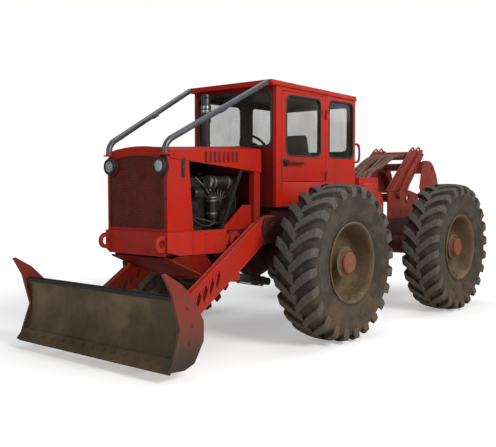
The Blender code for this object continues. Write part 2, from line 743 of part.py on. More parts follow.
def deflector_bar(side):
    name = "left" if side > 0 else "right"
    y0, y1 = 0.405, 0.565
    foot_x = NOSE_X - 0.03 + BAR_RADIUS
    route = [
        (foot_x, y0, 1.89), (foot_x, y0, 1.985), (foot_x - 0.02, y0 + 0.003, 2.025), (foot_x - 0.06,
        y0 + 0.01, 2.065),
        (ROOF_FRONT + 0.028, y1, ROOF_FRONT_Z - 0.035),
    ]
    bar = tube(f"deflector_bar_{name}", [(x, side * y, z) for x, y, z in route], BAR_RADIUS, 4)
    cut(bar, box("foot_cut", (1.5, 1.9), (-0.7, 0.7), (1.7, 1.9137)))
    cut(bar, box("roof_cut", (-1.0, ROOF_FRONT + GAP), (-0.7, 0.7), (2.5, 3.0)))
    paint(as_mesh(bar), STEEL, 0.35, 0.6)


# Cab --------------------------------------------------------------------------

def cab_side(side):
    name = "left" if side > 0 else "right"
    inner, outer = side * (CAB_HALF - CAB_WALL), side * CAB_HALF
    outline = [
        (CAB_REAR, CAB_SILL), (CAB_FRONT, CAB_SILL),
        (CAB_FRONT, roof_under(CAB_FRONT) - GAP), (CAB_REAR, roof_under(CAB_REAR) - GAP),
    ]
    door = rounded((DOOR_REAR, DOOR_FRONT), (DOOR_BOTTOM, DOOR_TOP), 0.03, 0, 2)
    pane = rounded((-1.175, -0.66), (WINDOW_LOW, WINDOW_HIGH), WINDOW_CORNER)
    wall = side_plate(f"cab_side_{name}", outline, (inner, outer), [door, pane])
    hinges = []
    for z in HINGE_HEIGHTS:
        axis_y = side * (CAB_HALF + HINGE_OFFSET)
        hinges.append(rod("knuckle", (HINGE_LINE, axis_y, z - 0.05), (HINGE_LINE, axis_y, z - GAP),
            0.010, 12))
        hinges.append(box("leaf", (HINGE_LINE - 0.07, HINGE_LINE), (side * (CAB_HALF - 0.002),
            side * (CAB_HALF + 0.008)), (z - 0.05, z - GAP)))
    join(wall, *hinges)
    paint(as_mesh(wall), PAINT, 0.4)
    pane_in = rounded((-1.175, -0.66), (WINDOW_LOW, WINDOW_HIGH), WINDOW_CORNER, GAP)
    middle = side * (CAB_HALF - CAB_WALL / 2)
    glass = side_plate(f"side_glass_{name}", pane_in, (middle - GLASS / 2, middle + GLASS / 2))
    paint(glass, BLACK, 0.05)


def door(side):
    name = "left" if side > 0 else "right"
    ys = (side * (CAB_HALF - LEAF), side * CAB_HALF)
    outline = rounded((DOOR_REAR, DOOR_FRONT), (DOOR_BOTTOM, DOOR_TOP), 0.03, CLEAR, 2)
    window = rounded((DOOR_REAR + 0.10, DOOR_FRONT - 0.085), (WINDOW_LOW, WINDOW_HIGH - 0.01),
        WINDOW_CORNER)
    leaf = side_plate(f"door_{name}", outline, ys, [window])
    hinges = [box("handle", (-0.10, 0.19), (side * (CAB_HALF + 0.03), side * (CAB_HALF + 0.045)),
        (1.865, 1.885))]
    hinges.append(rod("boss", (0.18, side * (CAB_HALF - 0.01), 1.875), (0.18, side * (CAB_HALF + 0.044),
        1.875), 0.02, 12))
    for z in HINGE_HEIGHTS:
        axis_y = side * (CAB_HALF + HINGE_OFFSET)
        hinges.append(rod("knuckle", (HINGE_LINE, axis_y, z), (HINGE_LINE, axis_y, z + 0.05), 0.010, 12))
        hinges.append(box("strap", (HINGE_LINE, HINGE_LINE + 0.08), (side * (CAB_HALF - 0.002),
            side * (CAB_HALF + 0.008)), (z, z + 0.05)))
    join(leaf, *hinges)
    paint(as_mesh(leaf), PAINT, 0.4)
    pane = rounded((DOOR_REAR + 0.10, DOOR_FRONT - 0.085), (WINDOW_LOW, WINDOW_HIGH - 0.01),
        WINDOW_CORNER, GAP)
    middle = side * (CAB_HALF - LEAF / 2)
    glass = side_plate(f"door_glass_{name}", pane, (middle - GLASS / 2, middle + GLASS / 2))
    paint(glass, BLACK, 0.05)


def cab_ends():
    inner = CAB_HALF - CAB_WALL - GAP
    sill = CAB_SILL + FLOOR_THICK + GAP
    top = roof_under(CAB_FRONT) - GAP - 0.001
    screen = rounded((-SCREEN_HALF, SCREEN_HALF), (SCREEN_LOW, WINDOW_HIGH + 0.02), WINDOW_CORNER)
    front = cross_plate("cab_front", [(-inner, sill), (inner, sill), (inner, top), (-inner, top)],
        (CAB_FRONT - CAB_WALL, CAB_FRONT), [screen])
    paint(front, PAINT, 0.4)
    middle = CAB_FRONT - CAB_WALL / 2
    pane = rounded((-SCREEN_HALF, SCREEN_HALF), (SCREEN_LOW, WINDOW_HIGH + 0.02), WINDOW_CORNER, GAP)
    glass = cross_plate("windscreen", pane, (middle - GLASS / 2, middle + GLASS / 2))
    paint(glass, BLACK, 0.05)
    top = roof_under(CAB_REAR) - GAP
    half = 0.50
    hatch = rounded((-half, half), (WINDOW_LOW + 0.08, WINDOW_HIGH - 0.02), WINDOW_CORNER)
    rear = cross_plate("cab_rear", [(-inner, sill), (inner, sill), (inner, top), (-inner, top)],
        (CAB_REAR, CAB_REAR + CAB_WALL), [hatch])
    join(rear, grab_handle())
    paint(as_mesh(rear), PAINT, 0.4)
    middle = CAB_REAR + CAB_WALL / 2
    pane = rounded((-half, half), (WINDOW_LOW + 0.08, WINDOW_HIGH - 0.02), WINDOW_CORNER, GAP)
    glass = cross_plate("rear_window", pane, (middle - GLASS / 2, middle + GLASS / 2))
    paint(glass, BLACK, 0.05)


def cab_roof():
    outline = [(ROOF_FRONT, ROOF_FRONT_Z), (ROOF_REAR, ROOF_REAR_Z),
        (ROOF_REAR, ROOF_REAR_Z - ROOF_THICK), (ROOF_FRONT, ROOF_FRONT_Z - ROOF_THICK)]
    roof = side_plate("cab_roof", outline, (-ROOF_HALF, ROOF_HALF))
    paint(roof, PAINT, 0.4)


def cab_floor():
    """The floor with the beams that carry it on the frame, and the seat's pedestal."""
    inner = CAB_HALF - CAB_WALL - GAP
    floor = box("cab_floor", (CAB_REAR, CAB_FRONT), (-inner, inner), (CAB_SILL, CAB_SILL + FLOOR_THICK))
    beams = []
    for side in (1, -1):
        beam = side_plate("beam", [
            (-1.10, 1.05), (-0.395, 1.05), (-0.395, 1.285), (0.30, 1.285), (0.30, CAB_SILL + 0.01),
            (-1.10, CAB_SILL + 0.01),
        ], (side * 0.455, side * 0.515))
        beams.append(beam)
    for x in (-0.72, 0.20):
        beams.append(box("tie", (x, x + 0.09), (-0.47, 0.47), (RAIL_TOP + GAP, CAB_SILL + 0.01)))
    top = CAB_SILL + FLOOR_THICK
    beams.append(box("pedestal", (-0.72, -0.40), (-0.16, 0.16), (top - 0.01, top + PEDESTAL)))
    join(floor, *beams)
    paint(as_mesh(floor), DARK_PAINT, 0.7)


def cab_inside():
    floor = CAB_SILL + FLOOR_THICK + GAP
    low = CAB_SILL + FLOOR_THICK + PEDESTAL + GAP
    cushion = side_plate("operator_seat", [
        (-0.80, low), (-0.30, low), (-0.28, low + 0.10), (-0.70, low + 0.10), (-0.78, low + 0.48),
        (-0.86, low + 0.48), (-0.84, low + 0.06),
    ], (-0.23, 0.23))
    paint(cushion, BLACK, 0.8)
    dash = box("dashboard", (0.12, CAB_FRONT - CAB_WALL - GAP), (-0.50, 0.50), (floor, 1.98))
    column = rod("column", (0.16, 0, 1.90), (-0.02, 0, 2.06), 0.02, 12)
    ring = hoop((-0.02, 0, 2.06), 0.18, 0.014, (0.16 + 0.02, 0, 1.90 - 2.06))
    spoke = rod("spoke", (-0.02, -0.18, 2.06), (-0.02, 0.18, 2.06), 0.01, 8)
    join(dash, column, ring, spoke)
    paint(as_mesh(dash), BLACK, 0.6)


def grab_handle():
    y = CAB_HALF - CAB_WALL - 0.02
    reach = 0.19
    return tube("grab_handle", [
        (CAB_REAR + 0.01, y, 2.135), (CAB_REAR - reach + 0.04, y, 2.135), (CAB_REAR - reach, y, 2.09),
        (CAB_REAR - reach, y, 1.965), (CAB_REAR - reach + 0.04, y, 1.92), (CAB_REAR + 0.01, y, 1.92),
    ], 0.012, 2)


def hoop(at, radius, thick, axis):
    bpy.ops.mesh.primitive_torus_add(major_radius=radius, minor_radius=thick, major_segments=24,
        minor_segments=8)
    ring = settle(bpy.context.object, "ring")
    turn = Vector((0, 0, 1)).rotation_difference(Vector(axis)).to_matrix().to_4x4()
    ring.data.transform(Matrix.Translation((at[0] + FRONT_AXLE_X, at[1], at[2])) @ turn)
    return ring


# Blade ------------------------------------------------------------------------

def blade_curve(back=0.0):
    """The mouldboard's face from its bottom edge to its top edge, or its back at that distance."""
    bottom, deep, top = (BLADE_X, BLADE_BOTTOM), (2.235, 0.43), (2.275, BLADE_TOP)
    (ax, az), (bx, bz), (cx, cz) = bottom, deep, top
    d = 2 * (ax * (bz - cz) + bx * (cz - az) + cx * (az - bz))
    ux = ((ax * ax + az * az) * (bz - cz) + (bx * bx + bz * bz) * (cz - az) + (cx * cx + cz * cz) * (
        az - bz)) / d
    uz = ((ax * ax + az * az) * (cx - bx) + (bx * bx + bz * bz) * (ax - cx) + (cx * cx + cz * cz) * (
        bx - ax)) / d
    radius = math.dist((ux, uz), bottom)
    first = math.degrees(math.atan2(az - uz, ax - ux)) % 360
    last = math.degrees(math.atan2(cz - uz, cx - ux)) % 360
    return arc((ux, uz), radius + back, first, last, 10)


def blade():
    face = blade_curve()
    outline = face + list(reversed(blade_curve(BLADE_PLATE)))
    obj = side_plate("blade", outline, (-BLADE_HALF + 0.005, BLADE_HALF - 0.005))
    others = []
    profile = [
        (2.43, 0.90), (2.33, 0.73), (2.245, 0.43), (2.35, 0.15), (2.40, BLADE_BOTTOM + 0.002),
        (2.20, BLADE_BOTTOM - 0.01),
        (2.08, 0.12), (1.965, 0.30), (1.965, 0.47), (2.09, 0.68), (2.22, 0.80), (2.40, 0.905),
    ]
    for side in (1, -1):
        others.append(side_plate("end_plate", profile, (side * (BLADE_HALF - END_PLATE),
            side * BLADE_HALF)))
    others.append(box("top_bar", (2.235, 2.29), (-BLADE_HALF + 0.01, BLADE_HALF - 0.01),
        (BLADE_TOP - 0.03, BLADE_TOP + 0.01)))
    join(obj, *others)
    paint(as_mesh(obj), RUST, 0.7, 0.2)
    strip = [(x, z) for x, z in blade_curve(-GAP * 2) if z < 0.25]
    inner = BLADE_HALF - END_PLATE - GAP
    front = [(x + 0.02, z + 0.004) for x, z in strip]
    edge = side_plate("cutting_edge", front + list(reversed(strip)), (-inner, inner))
    paint(edge, RUST, 0.6, 0.4)


def arm_outline():
    """The arm's outline: an eye at the pivot, a sloping beam, and an end that follows the blade's back."""
    outline = arc((PIVOT_X, PIVOT_Z), ARM_EYE, 60, 270, 12)
    outline += [(0.62, arm_low(0.62)), (1.97, arm_low(1.97))]
    outline += [(x, z) for x, z in blade_curve(BLADE_PLATE + GAP) if ARM_END_LOW < z < ARM_END_HIGH]
    outline += [(2.04, arm_low(2.04) + ARM_DEPTH), (0.60, arm_low(0.60) + ARM_DEPTH)]
    return outline


def arm_low(x):
    """Height of the arm's lower edge at a station."""
    return ARM_LOW_Z - ARM_SLOPE * (x - PIVOT_X)


def arm(side):
    name = "left" if side > 0 else "right"
    reach = (PIN_RADIUS + RUN) / math.cos(math.pi / 24)
    turns = [math.tau * i / 24 for i in range(24)]
    holes = [[(PIVOT_X + reach * math.cos(a), PIVOT_Z + reach * math.sin(a)) for a in turns]]
    for i in range(LADDER_COUNT):
        x = LADDER_X + LADDER_PITCH * i
        z = LADDER_Z - ARM_SLOPE * LADDER_PITCH * i
        holes.append([(x, z - 0.03), (x + 0.052, z - 0.15), (x + 0.075, z - 0.095), (x + 0.028, z + 0.03)])
    obj = side_plate(f"blade_arm_{name}", arm_outline(), (side * ARM_IN, side * ARM_OUT), holes)
    pin = rod("lift_pin", (LIFT_HEAD[0], side * (LIFT_Y - 0.022), LIFT_HEAD[1]), (LIFT_HEAD[0],
        side * (ARM_IN + 0.02), LIFT_HEAD[1]), LIFT_PIN)
    lug = box("lift_lug", (LIFT_HEAD[0] - 0.06, LIFT_HEAD[0] + 0.06), (side * ARM_IN, side * ARM_OUT),
        (LIFT_HEAD[1] - 0.04, LIFT_HEAD[1] + 0.12))
    return [obj, lug, pin]


def blade_arms():
    tie = rod("blade_arms", (1.80, -ARM_IN - 0.01, 0.38), (1.80, ARM_IN + 0.01, 0.38), 0.06, 16)
    join(tie, *arm(1), *arm(-1))
    paint(as_mesh(tie), PAINT, 0.45)


def cylinder(name, foot, head, radii, axis, holes, shorter):
    """A hydraulic cylinder: barrel from its foot eye, rod to its head eye, with room for its stroke."""
    bore, stem = radii
    foot_hole, head_hole = holes
    reach = math.dist(foot, head)
    along = [(q - p) / reach for p, q in zip(foot, head)]
    cap = 0.06
    head_eye = head_hole + 0.015
    barrel_end = reach - shorter - head_eye - CLEAR
    stem_start = cap + CLEAR + shorter

    def at(distance):
        return tuple(p + a * distance for p, a in zip(foot, along))

    def across(point, half):
        return [tuple(c + s * half * (axis == i) for i, c in enumerate(point)) for s in (-1, 1)]

    barrel = rod(f"{name}_barrel", at(cap), at(barrel_end), bore, 20)
    join(barrel, rod("neck", at(foot_hole + 0.008), at(cap + 0.005), 0.019),
        rod("eye", *across(foot, 0.02), foot_hole + 0.02, 20))
    cut(barrel, rod("hole", *across(foot, 0.04), foot_hole, 20))
    cut(barrel, rod("bore", at(cap + CLEAR / 2), at(barrel_end + 0.05), stem + 0.0008))
    paint(as_mesh(barrel), BLACK, 0.4)
    shaft = rod(f"{name}_rod", at(stem_start), at(reach - head_hole - 0.006), stem)
    join(shaft, rod("eye", *across(head, 0.02), head_eye, 20))
    cut(shaft, rod("hole", *across(head, 0.04), head_hole, 20))
    paint(as_mesh(shaft), STEEL, 0.2, 0.9)


def cylinders():
    for side, name in ((1, "left"), (-1, "right")):
        foot = (LIFT_FOOT[0], side * LIFT_Y, LIFT_FOOT[1])
        head = (LIFT_HEAD[0], side * LIFT_Y, LIFT_HEAD[1])
        cylinder(f"lift_{name}", foot, head, (LIFT_BORE, LIFT_ROD), 1, (0.0206, 0.032), 0.06)
        foot = (STEER_FRONT_X, side * STEER_Y, STEER_Z)
        head = (STEER_REAR_X, side * STEER_Y, STEER_Z)
        cylinder(f"steer_{name}", foot, head, (STEER_BORE, STEER_ROD), 2, (0.0206, 0.020), 0.162)


# Rear body --------------------------------------------------------------------

def rear_frame():
    inner = REAR_HALF - REAR_WALL
    frame = box("rear_frame", (REAR_END_X, REAR_FRONT_X), (inner, REAR_HALF), (REAR_BOTTOM, REAR_TOP))
    others = [box("rail", (REAR_END_X, REAR_FRONT_X), (-REAR_HALF, -inner), (REAR_BOTTOM, REAR_TOP))]
    others.append(box("bulkhead", (REAR_FRONT_X - 0.04, REAR_FRONT_X), (-REAR_HALF + 0.001,
        REAR_HALF - 0.001), (0.62, REAR_TOP - 0.001)))
    others.append(box("rear_cross", (REAR_END_X + 0.01, REAR_END_X + 0.09), (-REAR_HALF + 0.01,
        REAR_HALF - 0.01), (REAR_BOTTOM + 0.01, REAR_TOP - 0.01)))
    low, high = YOKE_LOW + YOKE_PLATE + CLEAR, YOKE_HIGH - YOKE_PLATE - CLEAR
    neck = [(REAR_FRONT_X - 0.01, -0.12), (REAR_FRONT_X - 0.01, 0.12)]
    neck += arc((HINGE_X, 0), TONGUE_RADIUS, 90, -90, 10)
    tongue = deck_plate("tongue", neck, (low, high))
    cut(tongue, rod("bore", (HINGE_X, 0, 0.5), (HINGE_X, 0, 1.2), (KING_PIN + RUN), 24))
    others.append(as_mesh(tongue))
    for side in (1, -1):
        for z in (STEER_Z + 0.028, STEER_Z - 0.028 - 0.02):
            others.append(steer_lug(side, z, STEER_REAR_X, REAR_FRONT_X - 0.01))
    others += saddle("rear_saddle", -WHEELBASE, (inner + 0.002, REAR_HALF - 0.002), REAR_BOTTOM)
    join(frame, *others)
    paint(as_mesh(frame), DARK_PAINT, 0.6)


def winch():
    low = REAR_TOP + GAP
    case = box("winch_case", (WINCH_REAR, WINCH_FRONT), (-WINCH_HALF, WINCH_HALF), (low, WINCH_TOP))
    others = []
    for side in (1, -1):
        cheek = [(WINCH_REAR + 0.01, low), (DRUM_X - 0.14, low), (DRUM_X - 0.14, DRUM_Z),
            (DRUM_X - 0.06, DRUM_Z + 0.12), (WINCH_REAR + 0.01, DRUM_Z + 0.16)]
        others.append(side_plate("cheek", cheek, (side * (DRUM_HALF + 0.015), side * (DRUM_HALF + 0.045))))
    spindle = rod("spindle", (DRUM_X, -DRUM_HALF - 0.03, DRUM_Z), (DRUM_X, DRUM_HALF + 0.03, DRUM_Z),
        0.03, 24)
    join(case, *others, spindle)
    paint(as_mesh(case), PAINT, 0.5)
    half = DRUM_HALF
    bore = 0.03 + RUN
    profile = [(bore, half), (DRUM_FLANGE, half), (DRUM_FLANGE, half - 0.02), (DRUM_CORE, half - 0.02)]
    profile += [(r, -d) for r, d in reversed(profile)]
    drum = turned("winch_drum", profile, (DRUM_X, 0, DRUM_Z), "Y", 24, True)
    paint(drum, STEEL, 0.5, 0.5)


def arch():
    low = REAR_TOP + GAP
    others = []
    for side in (1, -1):
        ys = (side * (ARCH_OUT - ARCH_PLATE), side * ARCH_OUT)
        base = [(ARCH_FOOT, low), (REAR_END_X, low), (REAR_END_X - 0.10, 1.50), (-3.05, ARCH_DECK),
            (ARCH_FOOT, ARCH_DECK)]
        hole = arc((-3.06, 1.455), 0.045, 0, 330, 11)
        plate = side_plate("arch", base, ys, [hole])
        leg = side_plate("leg", [(-2.62, ARCH_DECK - 0.02), (-3.00, ARCH_DECK - 0.02),
            (-3.50, ARCH_TOP - 0.05), (-3.47, ARCH_TOP), (-3.27, ARCH_TOP)], (side * (ARCH_OUT - 0.08),
            side * (ARCH_OUT + 0.01)))
        others += [plate, leg]
    obj = others.pop(0)
    obj.name = "arch"
    others.append(rod("head", (-3.38, -ARCH_OUT + 0.01, 2.07), (-3.38, ARCH_OUT - 0.01, 2.07), 0.06, 16))
    others.append(box("tie", (-2.70, -2.62), (-ARCH_OUT + 0.01, ARCH_OUT - 0.01), (1.40, 1.52)))
    others += [guard(1), guard(-1)]
    join(obj, *others)
    paint(as_mesh(obj), PAINT, 0.5)
    edge = REAR_END_X - GAP
    butt = [(edge, 1.165), (-3.40, 1.165), (-3.62, 0.62), (-3.59, 0.60), (-3.36, 1.0), (edge, 1.0)]
    plate = side_plate("butt_plate", butt, (-0.44, 0.44))
    paint(plate, PAINT, 0.6)


def guard(side):
    route = [(-3.36, 1.98), (-3.56, 1.985), (-3.68, 1.93), (-3.78, 1.80), (-3.84, 1.64), (-3.85, 1.50)]
    inside = [(-3.80, 1.50), (-3.77, 1.60), (-3.68, 1.74), (-3.58, 1.83), (-3.44, 1.86), (-3.30, 1.80)]
    return side_plate("guard", route + inside, (side * (ARCH_OUT - 0.02), side * (ARCH_OUT + 0.08)))


def rollers():
    half = ARCH_OUT - 0.02 - GAP
    x, _, z = ROLLER_AT
    spin = rod("fairlead_roller", (x, -half, z), (x, half, z), ROLLER_RADIUS, 20)
    paint(spin, STEEL, 0.4, 0.7)


def build():
    for name, x, side in (
        ("front_left", 0, 1), ("front_right", 0, -1), ("rear_left", -WHEELBASE, 1), ("rear_right",
            -WHEELBASE, -1),
    ):
        wheel(name, x, side)
    axle("front_axle", 0, FRAME_REAR + 0.01 + GAP)
    axle("rear_axle", -WHEELBASE, REAR_FRONT_X - 0.04 - GAP)
    front_frame()
    bumper()
    belly_pan()
    nose()
    hood()
    engine()
    exhaust()
    hood_frame()
    for side in (1, -1):
        headlight(side)
        deflector_bar(side)
        cab_side(side)
        door(side)
    cab_ends()
    cab_roof()
    cab_floor()
    cab_inside()
    blade()
    blade_arms()
    cylinders()
    rear_frame()
    winch()
    arch()
    rollers()
    pivots()


def hang(title, at, *names):
    """Hangs pieces from an empty that stands on their joint's axis."""
    pivot = bpy.data.objects.new(title, None)
    SKIDDER.objects.link(pivot)
    pivot.location = (at[0] + FRONT_AXLE_X, at[1], at[2])
    bpy.context.view_layer.update()
    for name in names:
        piece = bpy.data.objects[name]
        piece.parent = pivot
        piece.matrix_parent_inverse = pivot.matrix_world.inverted()


def pivots():
    """An empty for each joint; the rear body's carries the rear wheels', drum's and roller's empties."""
    hang("articulation", (HINGE_X, 0, STEER_Z), "rear_frame", "rear_axle", "winch_case", "arch",
        "butt_plate")
    hang("winch_drum_spin", (DRUM_X, 0, DRUM_Z), "winch_drum")
    hang("fairlead_roller_spin", ROLLER_AT, "fairlead_roller")
    hang("blade_lift", (PIVOT_X, 0, PIVOT_Z), "blade", "cutting_edge", "blade_arms")
    for side, name in ((1, "left"), (-1, "right")):
        for end, x in (("front", 0), ("rear", -WHEELBASE)):
            at = (x, side * TRACK_HALF, TYRE_RADIUS)
            hang(f"wheel_{end}_{name}_spin", at, f"tyre_{end}_{name}", f"rim_{end}_{name}")
        hinge = (HINGE_LINE, side * (CAB_HALF + HINGE_OFFSET), HINGE_HEIGHTS[0])
        hang(f"door_{name}_swing", hinge, f"door_{name}", f"door_glass_{name}")
        for what, foot in (("lift", (LIFT_FOOT[0], side * LIFT_Y, LIFT_FOOT[1])),
                ("steer", (STEER_FRONT_X, side * STEER_Y, STEER_Z))):
            hang(f"{what}_barrel_{name}_swing", foot, f"{what}_{name}_barrel", f"{what}_{name}_rod")
    rear = ["winch_drum_spin", "fairlead_roller_spin", "wheel_rear_left_spin", "wheel_rear_right_spin"]
    hang("rear_body", (HINGE_X, 0, STEER_Z), "articulation", *rear)


build()
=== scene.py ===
import bpy
import bmesh
import math
import random
from mathutils import Matrix, Vector


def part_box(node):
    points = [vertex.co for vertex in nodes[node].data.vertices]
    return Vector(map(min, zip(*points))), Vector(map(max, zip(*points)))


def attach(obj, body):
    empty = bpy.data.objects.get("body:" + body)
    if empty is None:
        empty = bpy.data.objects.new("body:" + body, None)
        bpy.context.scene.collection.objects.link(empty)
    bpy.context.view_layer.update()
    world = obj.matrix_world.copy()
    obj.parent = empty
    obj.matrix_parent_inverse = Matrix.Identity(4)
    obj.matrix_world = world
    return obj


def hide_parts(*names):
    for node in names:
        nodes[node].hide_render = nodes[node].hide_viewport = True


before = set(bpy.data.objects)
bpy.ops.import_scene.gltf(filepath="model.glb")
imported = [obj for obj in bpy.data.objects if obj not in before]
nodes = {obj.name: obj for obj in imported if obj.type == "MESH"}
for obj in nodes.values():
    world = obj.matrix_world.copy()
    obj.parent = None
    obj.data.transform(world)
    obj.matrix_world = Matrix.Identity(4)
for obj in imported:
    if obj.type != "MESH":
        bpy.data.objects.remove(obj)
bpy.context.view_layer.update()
print("frame loaded", len(nodes), "nodes")


# camera, floor and light
view = {"place": (7.208, 5.423, 1.618), "yaw": 40.223, "down": 2.882, "lens": 53.47, "sensor": 36.0}
studio = {
    "floor": (0.93, 0.93, 0.93), "floorReach": 60.0,
    "glow": (2.6, 8.5, 0.36, 1.0),  # the floor's own light: from one distance to another, low to high
    "air": (1.0, 1.0, 1.0), "airPower": 0.24,
    "lights": {  # place, target, size, power
        "keyLight": ((2.6, 9.2, 6.2), (0, 0.4, 1.1), (3.6, 3.6), 690),
        "topLight": ((-1.0, 0.0, 8.0), (0, 0, 1.0), (6.0, 5.0), 170),
        "frontLight": ((9.0, -2.0, 3.5), (1.0, 0, 1.2), (3.0, 3.0), 60),
        "backLight": ((-7.5, 4.0, 4.5), (-1.5, 0, 1.3), (3.0, 3.0), 70),
    },
}


def makeCamera():
    data = bpy.data.cameras.new("camera")
    data.lens = view["lens"]
    data.sensor_width = view["sensor"]
    data.sensor_fit = "HORIZONTAL"
    camera = bpy.data.objects.new("camera", data)
    bpy.context.scene.collection.objects.link(camera)
    yaw, down = math.radians(view["yaw"]), math.radians(view["down"])
    ahead = Vector((-math.cos(yaw) * math.cos(down), -math.sin(yaw) * math.cos(down), -math.sin(down)))
    camera.location = view["place"]
    camera.rotation_euler = ahead.to_track_quat("-Z", "Y").to_euler()
    bpy.context.scene.camera = camera


def softBox(name, place, target, size, power):
    data = bpy.data.lights.new(name, "AREA")
    data.shape = "RECTANGLE"
    data.size, data.size_y = size
    data.energy = power
    lamp = bpy.data.objects.new(name, data)
    bpy.context.scene.collection.objects.link(lamp)
    lamp.location = place
    lamp.rotation_euler = (Vector(target) - Vector(place)).to_track_quat("-Z", "Y").to_euler()


def makeStudio():
    world = bpy.data.worlds.new("studioAir")
    world.use_nodes = True
    tree = world.node_tree
    air = tree.nodes["Background"]
    air.inputs["Color"].default_value = (*studio["air"], 1)
    air.inputs["Strength"].default_value = studio["airPower"]
    backdrop = tree.nodes.new("ShaderNodeBackground")  # the camera sees plain white
    backdrop.inputs["Color"].default_value = (1, 1, 1, 1)
    blend = tree.nodes.new("ShaderNodeMixShader")
    tree.links.new(tree.nodes.new("ShaderNodeLightPath").outputs["Is Camera Ray"], blend.inputs[0])
    tree.links.new(air.outputs[0], blend.inputs[1])
    tree.links.new(backdrop.outputs[0], blend.inputs[2])
    tree.links.new(blend.outputs[0], tree.nodes["World Output"].inputs["Surface"])
    bpy.context.scene.world = world
    bpy.context.scene.view_settings.view_transform = "Standard"
    for name, (place, target, size, power) in studio["lights"].items():
        softBox(name, place, target, size, power)


makeCamera()
makeStudio()


# shader helpers
def fill(tree, socket, value):
    # a socket takes a link or a plain value
    if isinstance(value, bpy.types.NodeSocket):
        tree.links.new(value, socket)
    else:
        socket.default_value = value


def put(tree, kind, settings=None, **values):
    made = tree.nodes.new("ShaderNode" + kind)
    for key, value in (settings or {}).items():
        setattr(made, key, value)
    for key, value in values.items():
        numbered = key[1:].isdigit()  # i0 is the first input, whatever its name
        fill(tree, made.inputs[int(key[1:]) if numbered else key.replace("_", " ")], value)
    return made


def newGroup(name, takes, gives):
    tree = bpy.data.node_groups.new(name, "ShaderNodeTree")
    for label, value in takes.items():
        socket = tree.interface.new_socket(label, in_out="INPUT", socket_type="NodeSocketFloat")
        socket.default_value = value
    for label in gives:
        tree.interface.new_socket(label, in_out="OUTPUT", socket_type="NodeSocketFloat")
    return tree, tree.nodes.new("NodeGroupInput").outputs, tree.nodes.new("NodeGroupOutput").inputs


def useGroup(tree, name, **values):
    made = tree.nodes.new("ShaderNodeGroup")
    made.node_tree = bpy.data.node_groups[name]
    for key, value in values.items():
        fill(tree, made.inputs[key.replace("_", " ")], value)
    return made


def mixColour(tree, share, first, second):
    made = tree.nodes.new("ShaderNodeMix")
    made.data_type = "RGBA"
    fill(tree, made.inputs[0], share)
    for index, value in ((6, first), (7, second)):
        fill(tree, made.inputs[index], (*value, 1) if isinstance(value, tuple) else value)
    return made.outputs[2]


def sums(tree, operation, *values, clamp=False):
    made = tree.nodes.new("ShaderNodeMath")
    made.operation = operation
    made.use_clamp = clamp
    for index, value in enumerate(values):
        fill(tree, made.inputs[index], value)
    return made.outputs[0]


def times(tree, first, *others):
    for other in others:
        first = sums(tree, "MULTIPLY", first, other)
    return first


def ramp(tree, value, low, high, first=0.0, last=1.0):
    made = put(tree, "MapRange", {"interpolation_type": "SMOOTHSTEP"}, Value=value)
    for index, number in ((1, low), (2, high), (3, first), (4, last)):
        made.inputs[index].default_value = number
    return made.outputs[0]


def objectPoint(tree, stretch=(1, 1, 1)):
    point = put(tree, "TexCoord").outputs["Object"]
    return put(tree, "Mapping", None, Vector=point, Scale=stretch).outputs[0]


def objectAxes(tree):
    return put(tree, "SeparateXYZ", None, Vector=objectPoint(tree)).outputs


def noiseAt(tree, scale, detail=4.0, rough=0.6, stretch=(1, 1, 1)):
    point = objectPoint(tree, stretch)
    noise = put(tree, "TexNoise", None, Vector=point, Scale=scale, Detail=detail, Roughness=rough)
    return noise.outputs["Fac"]


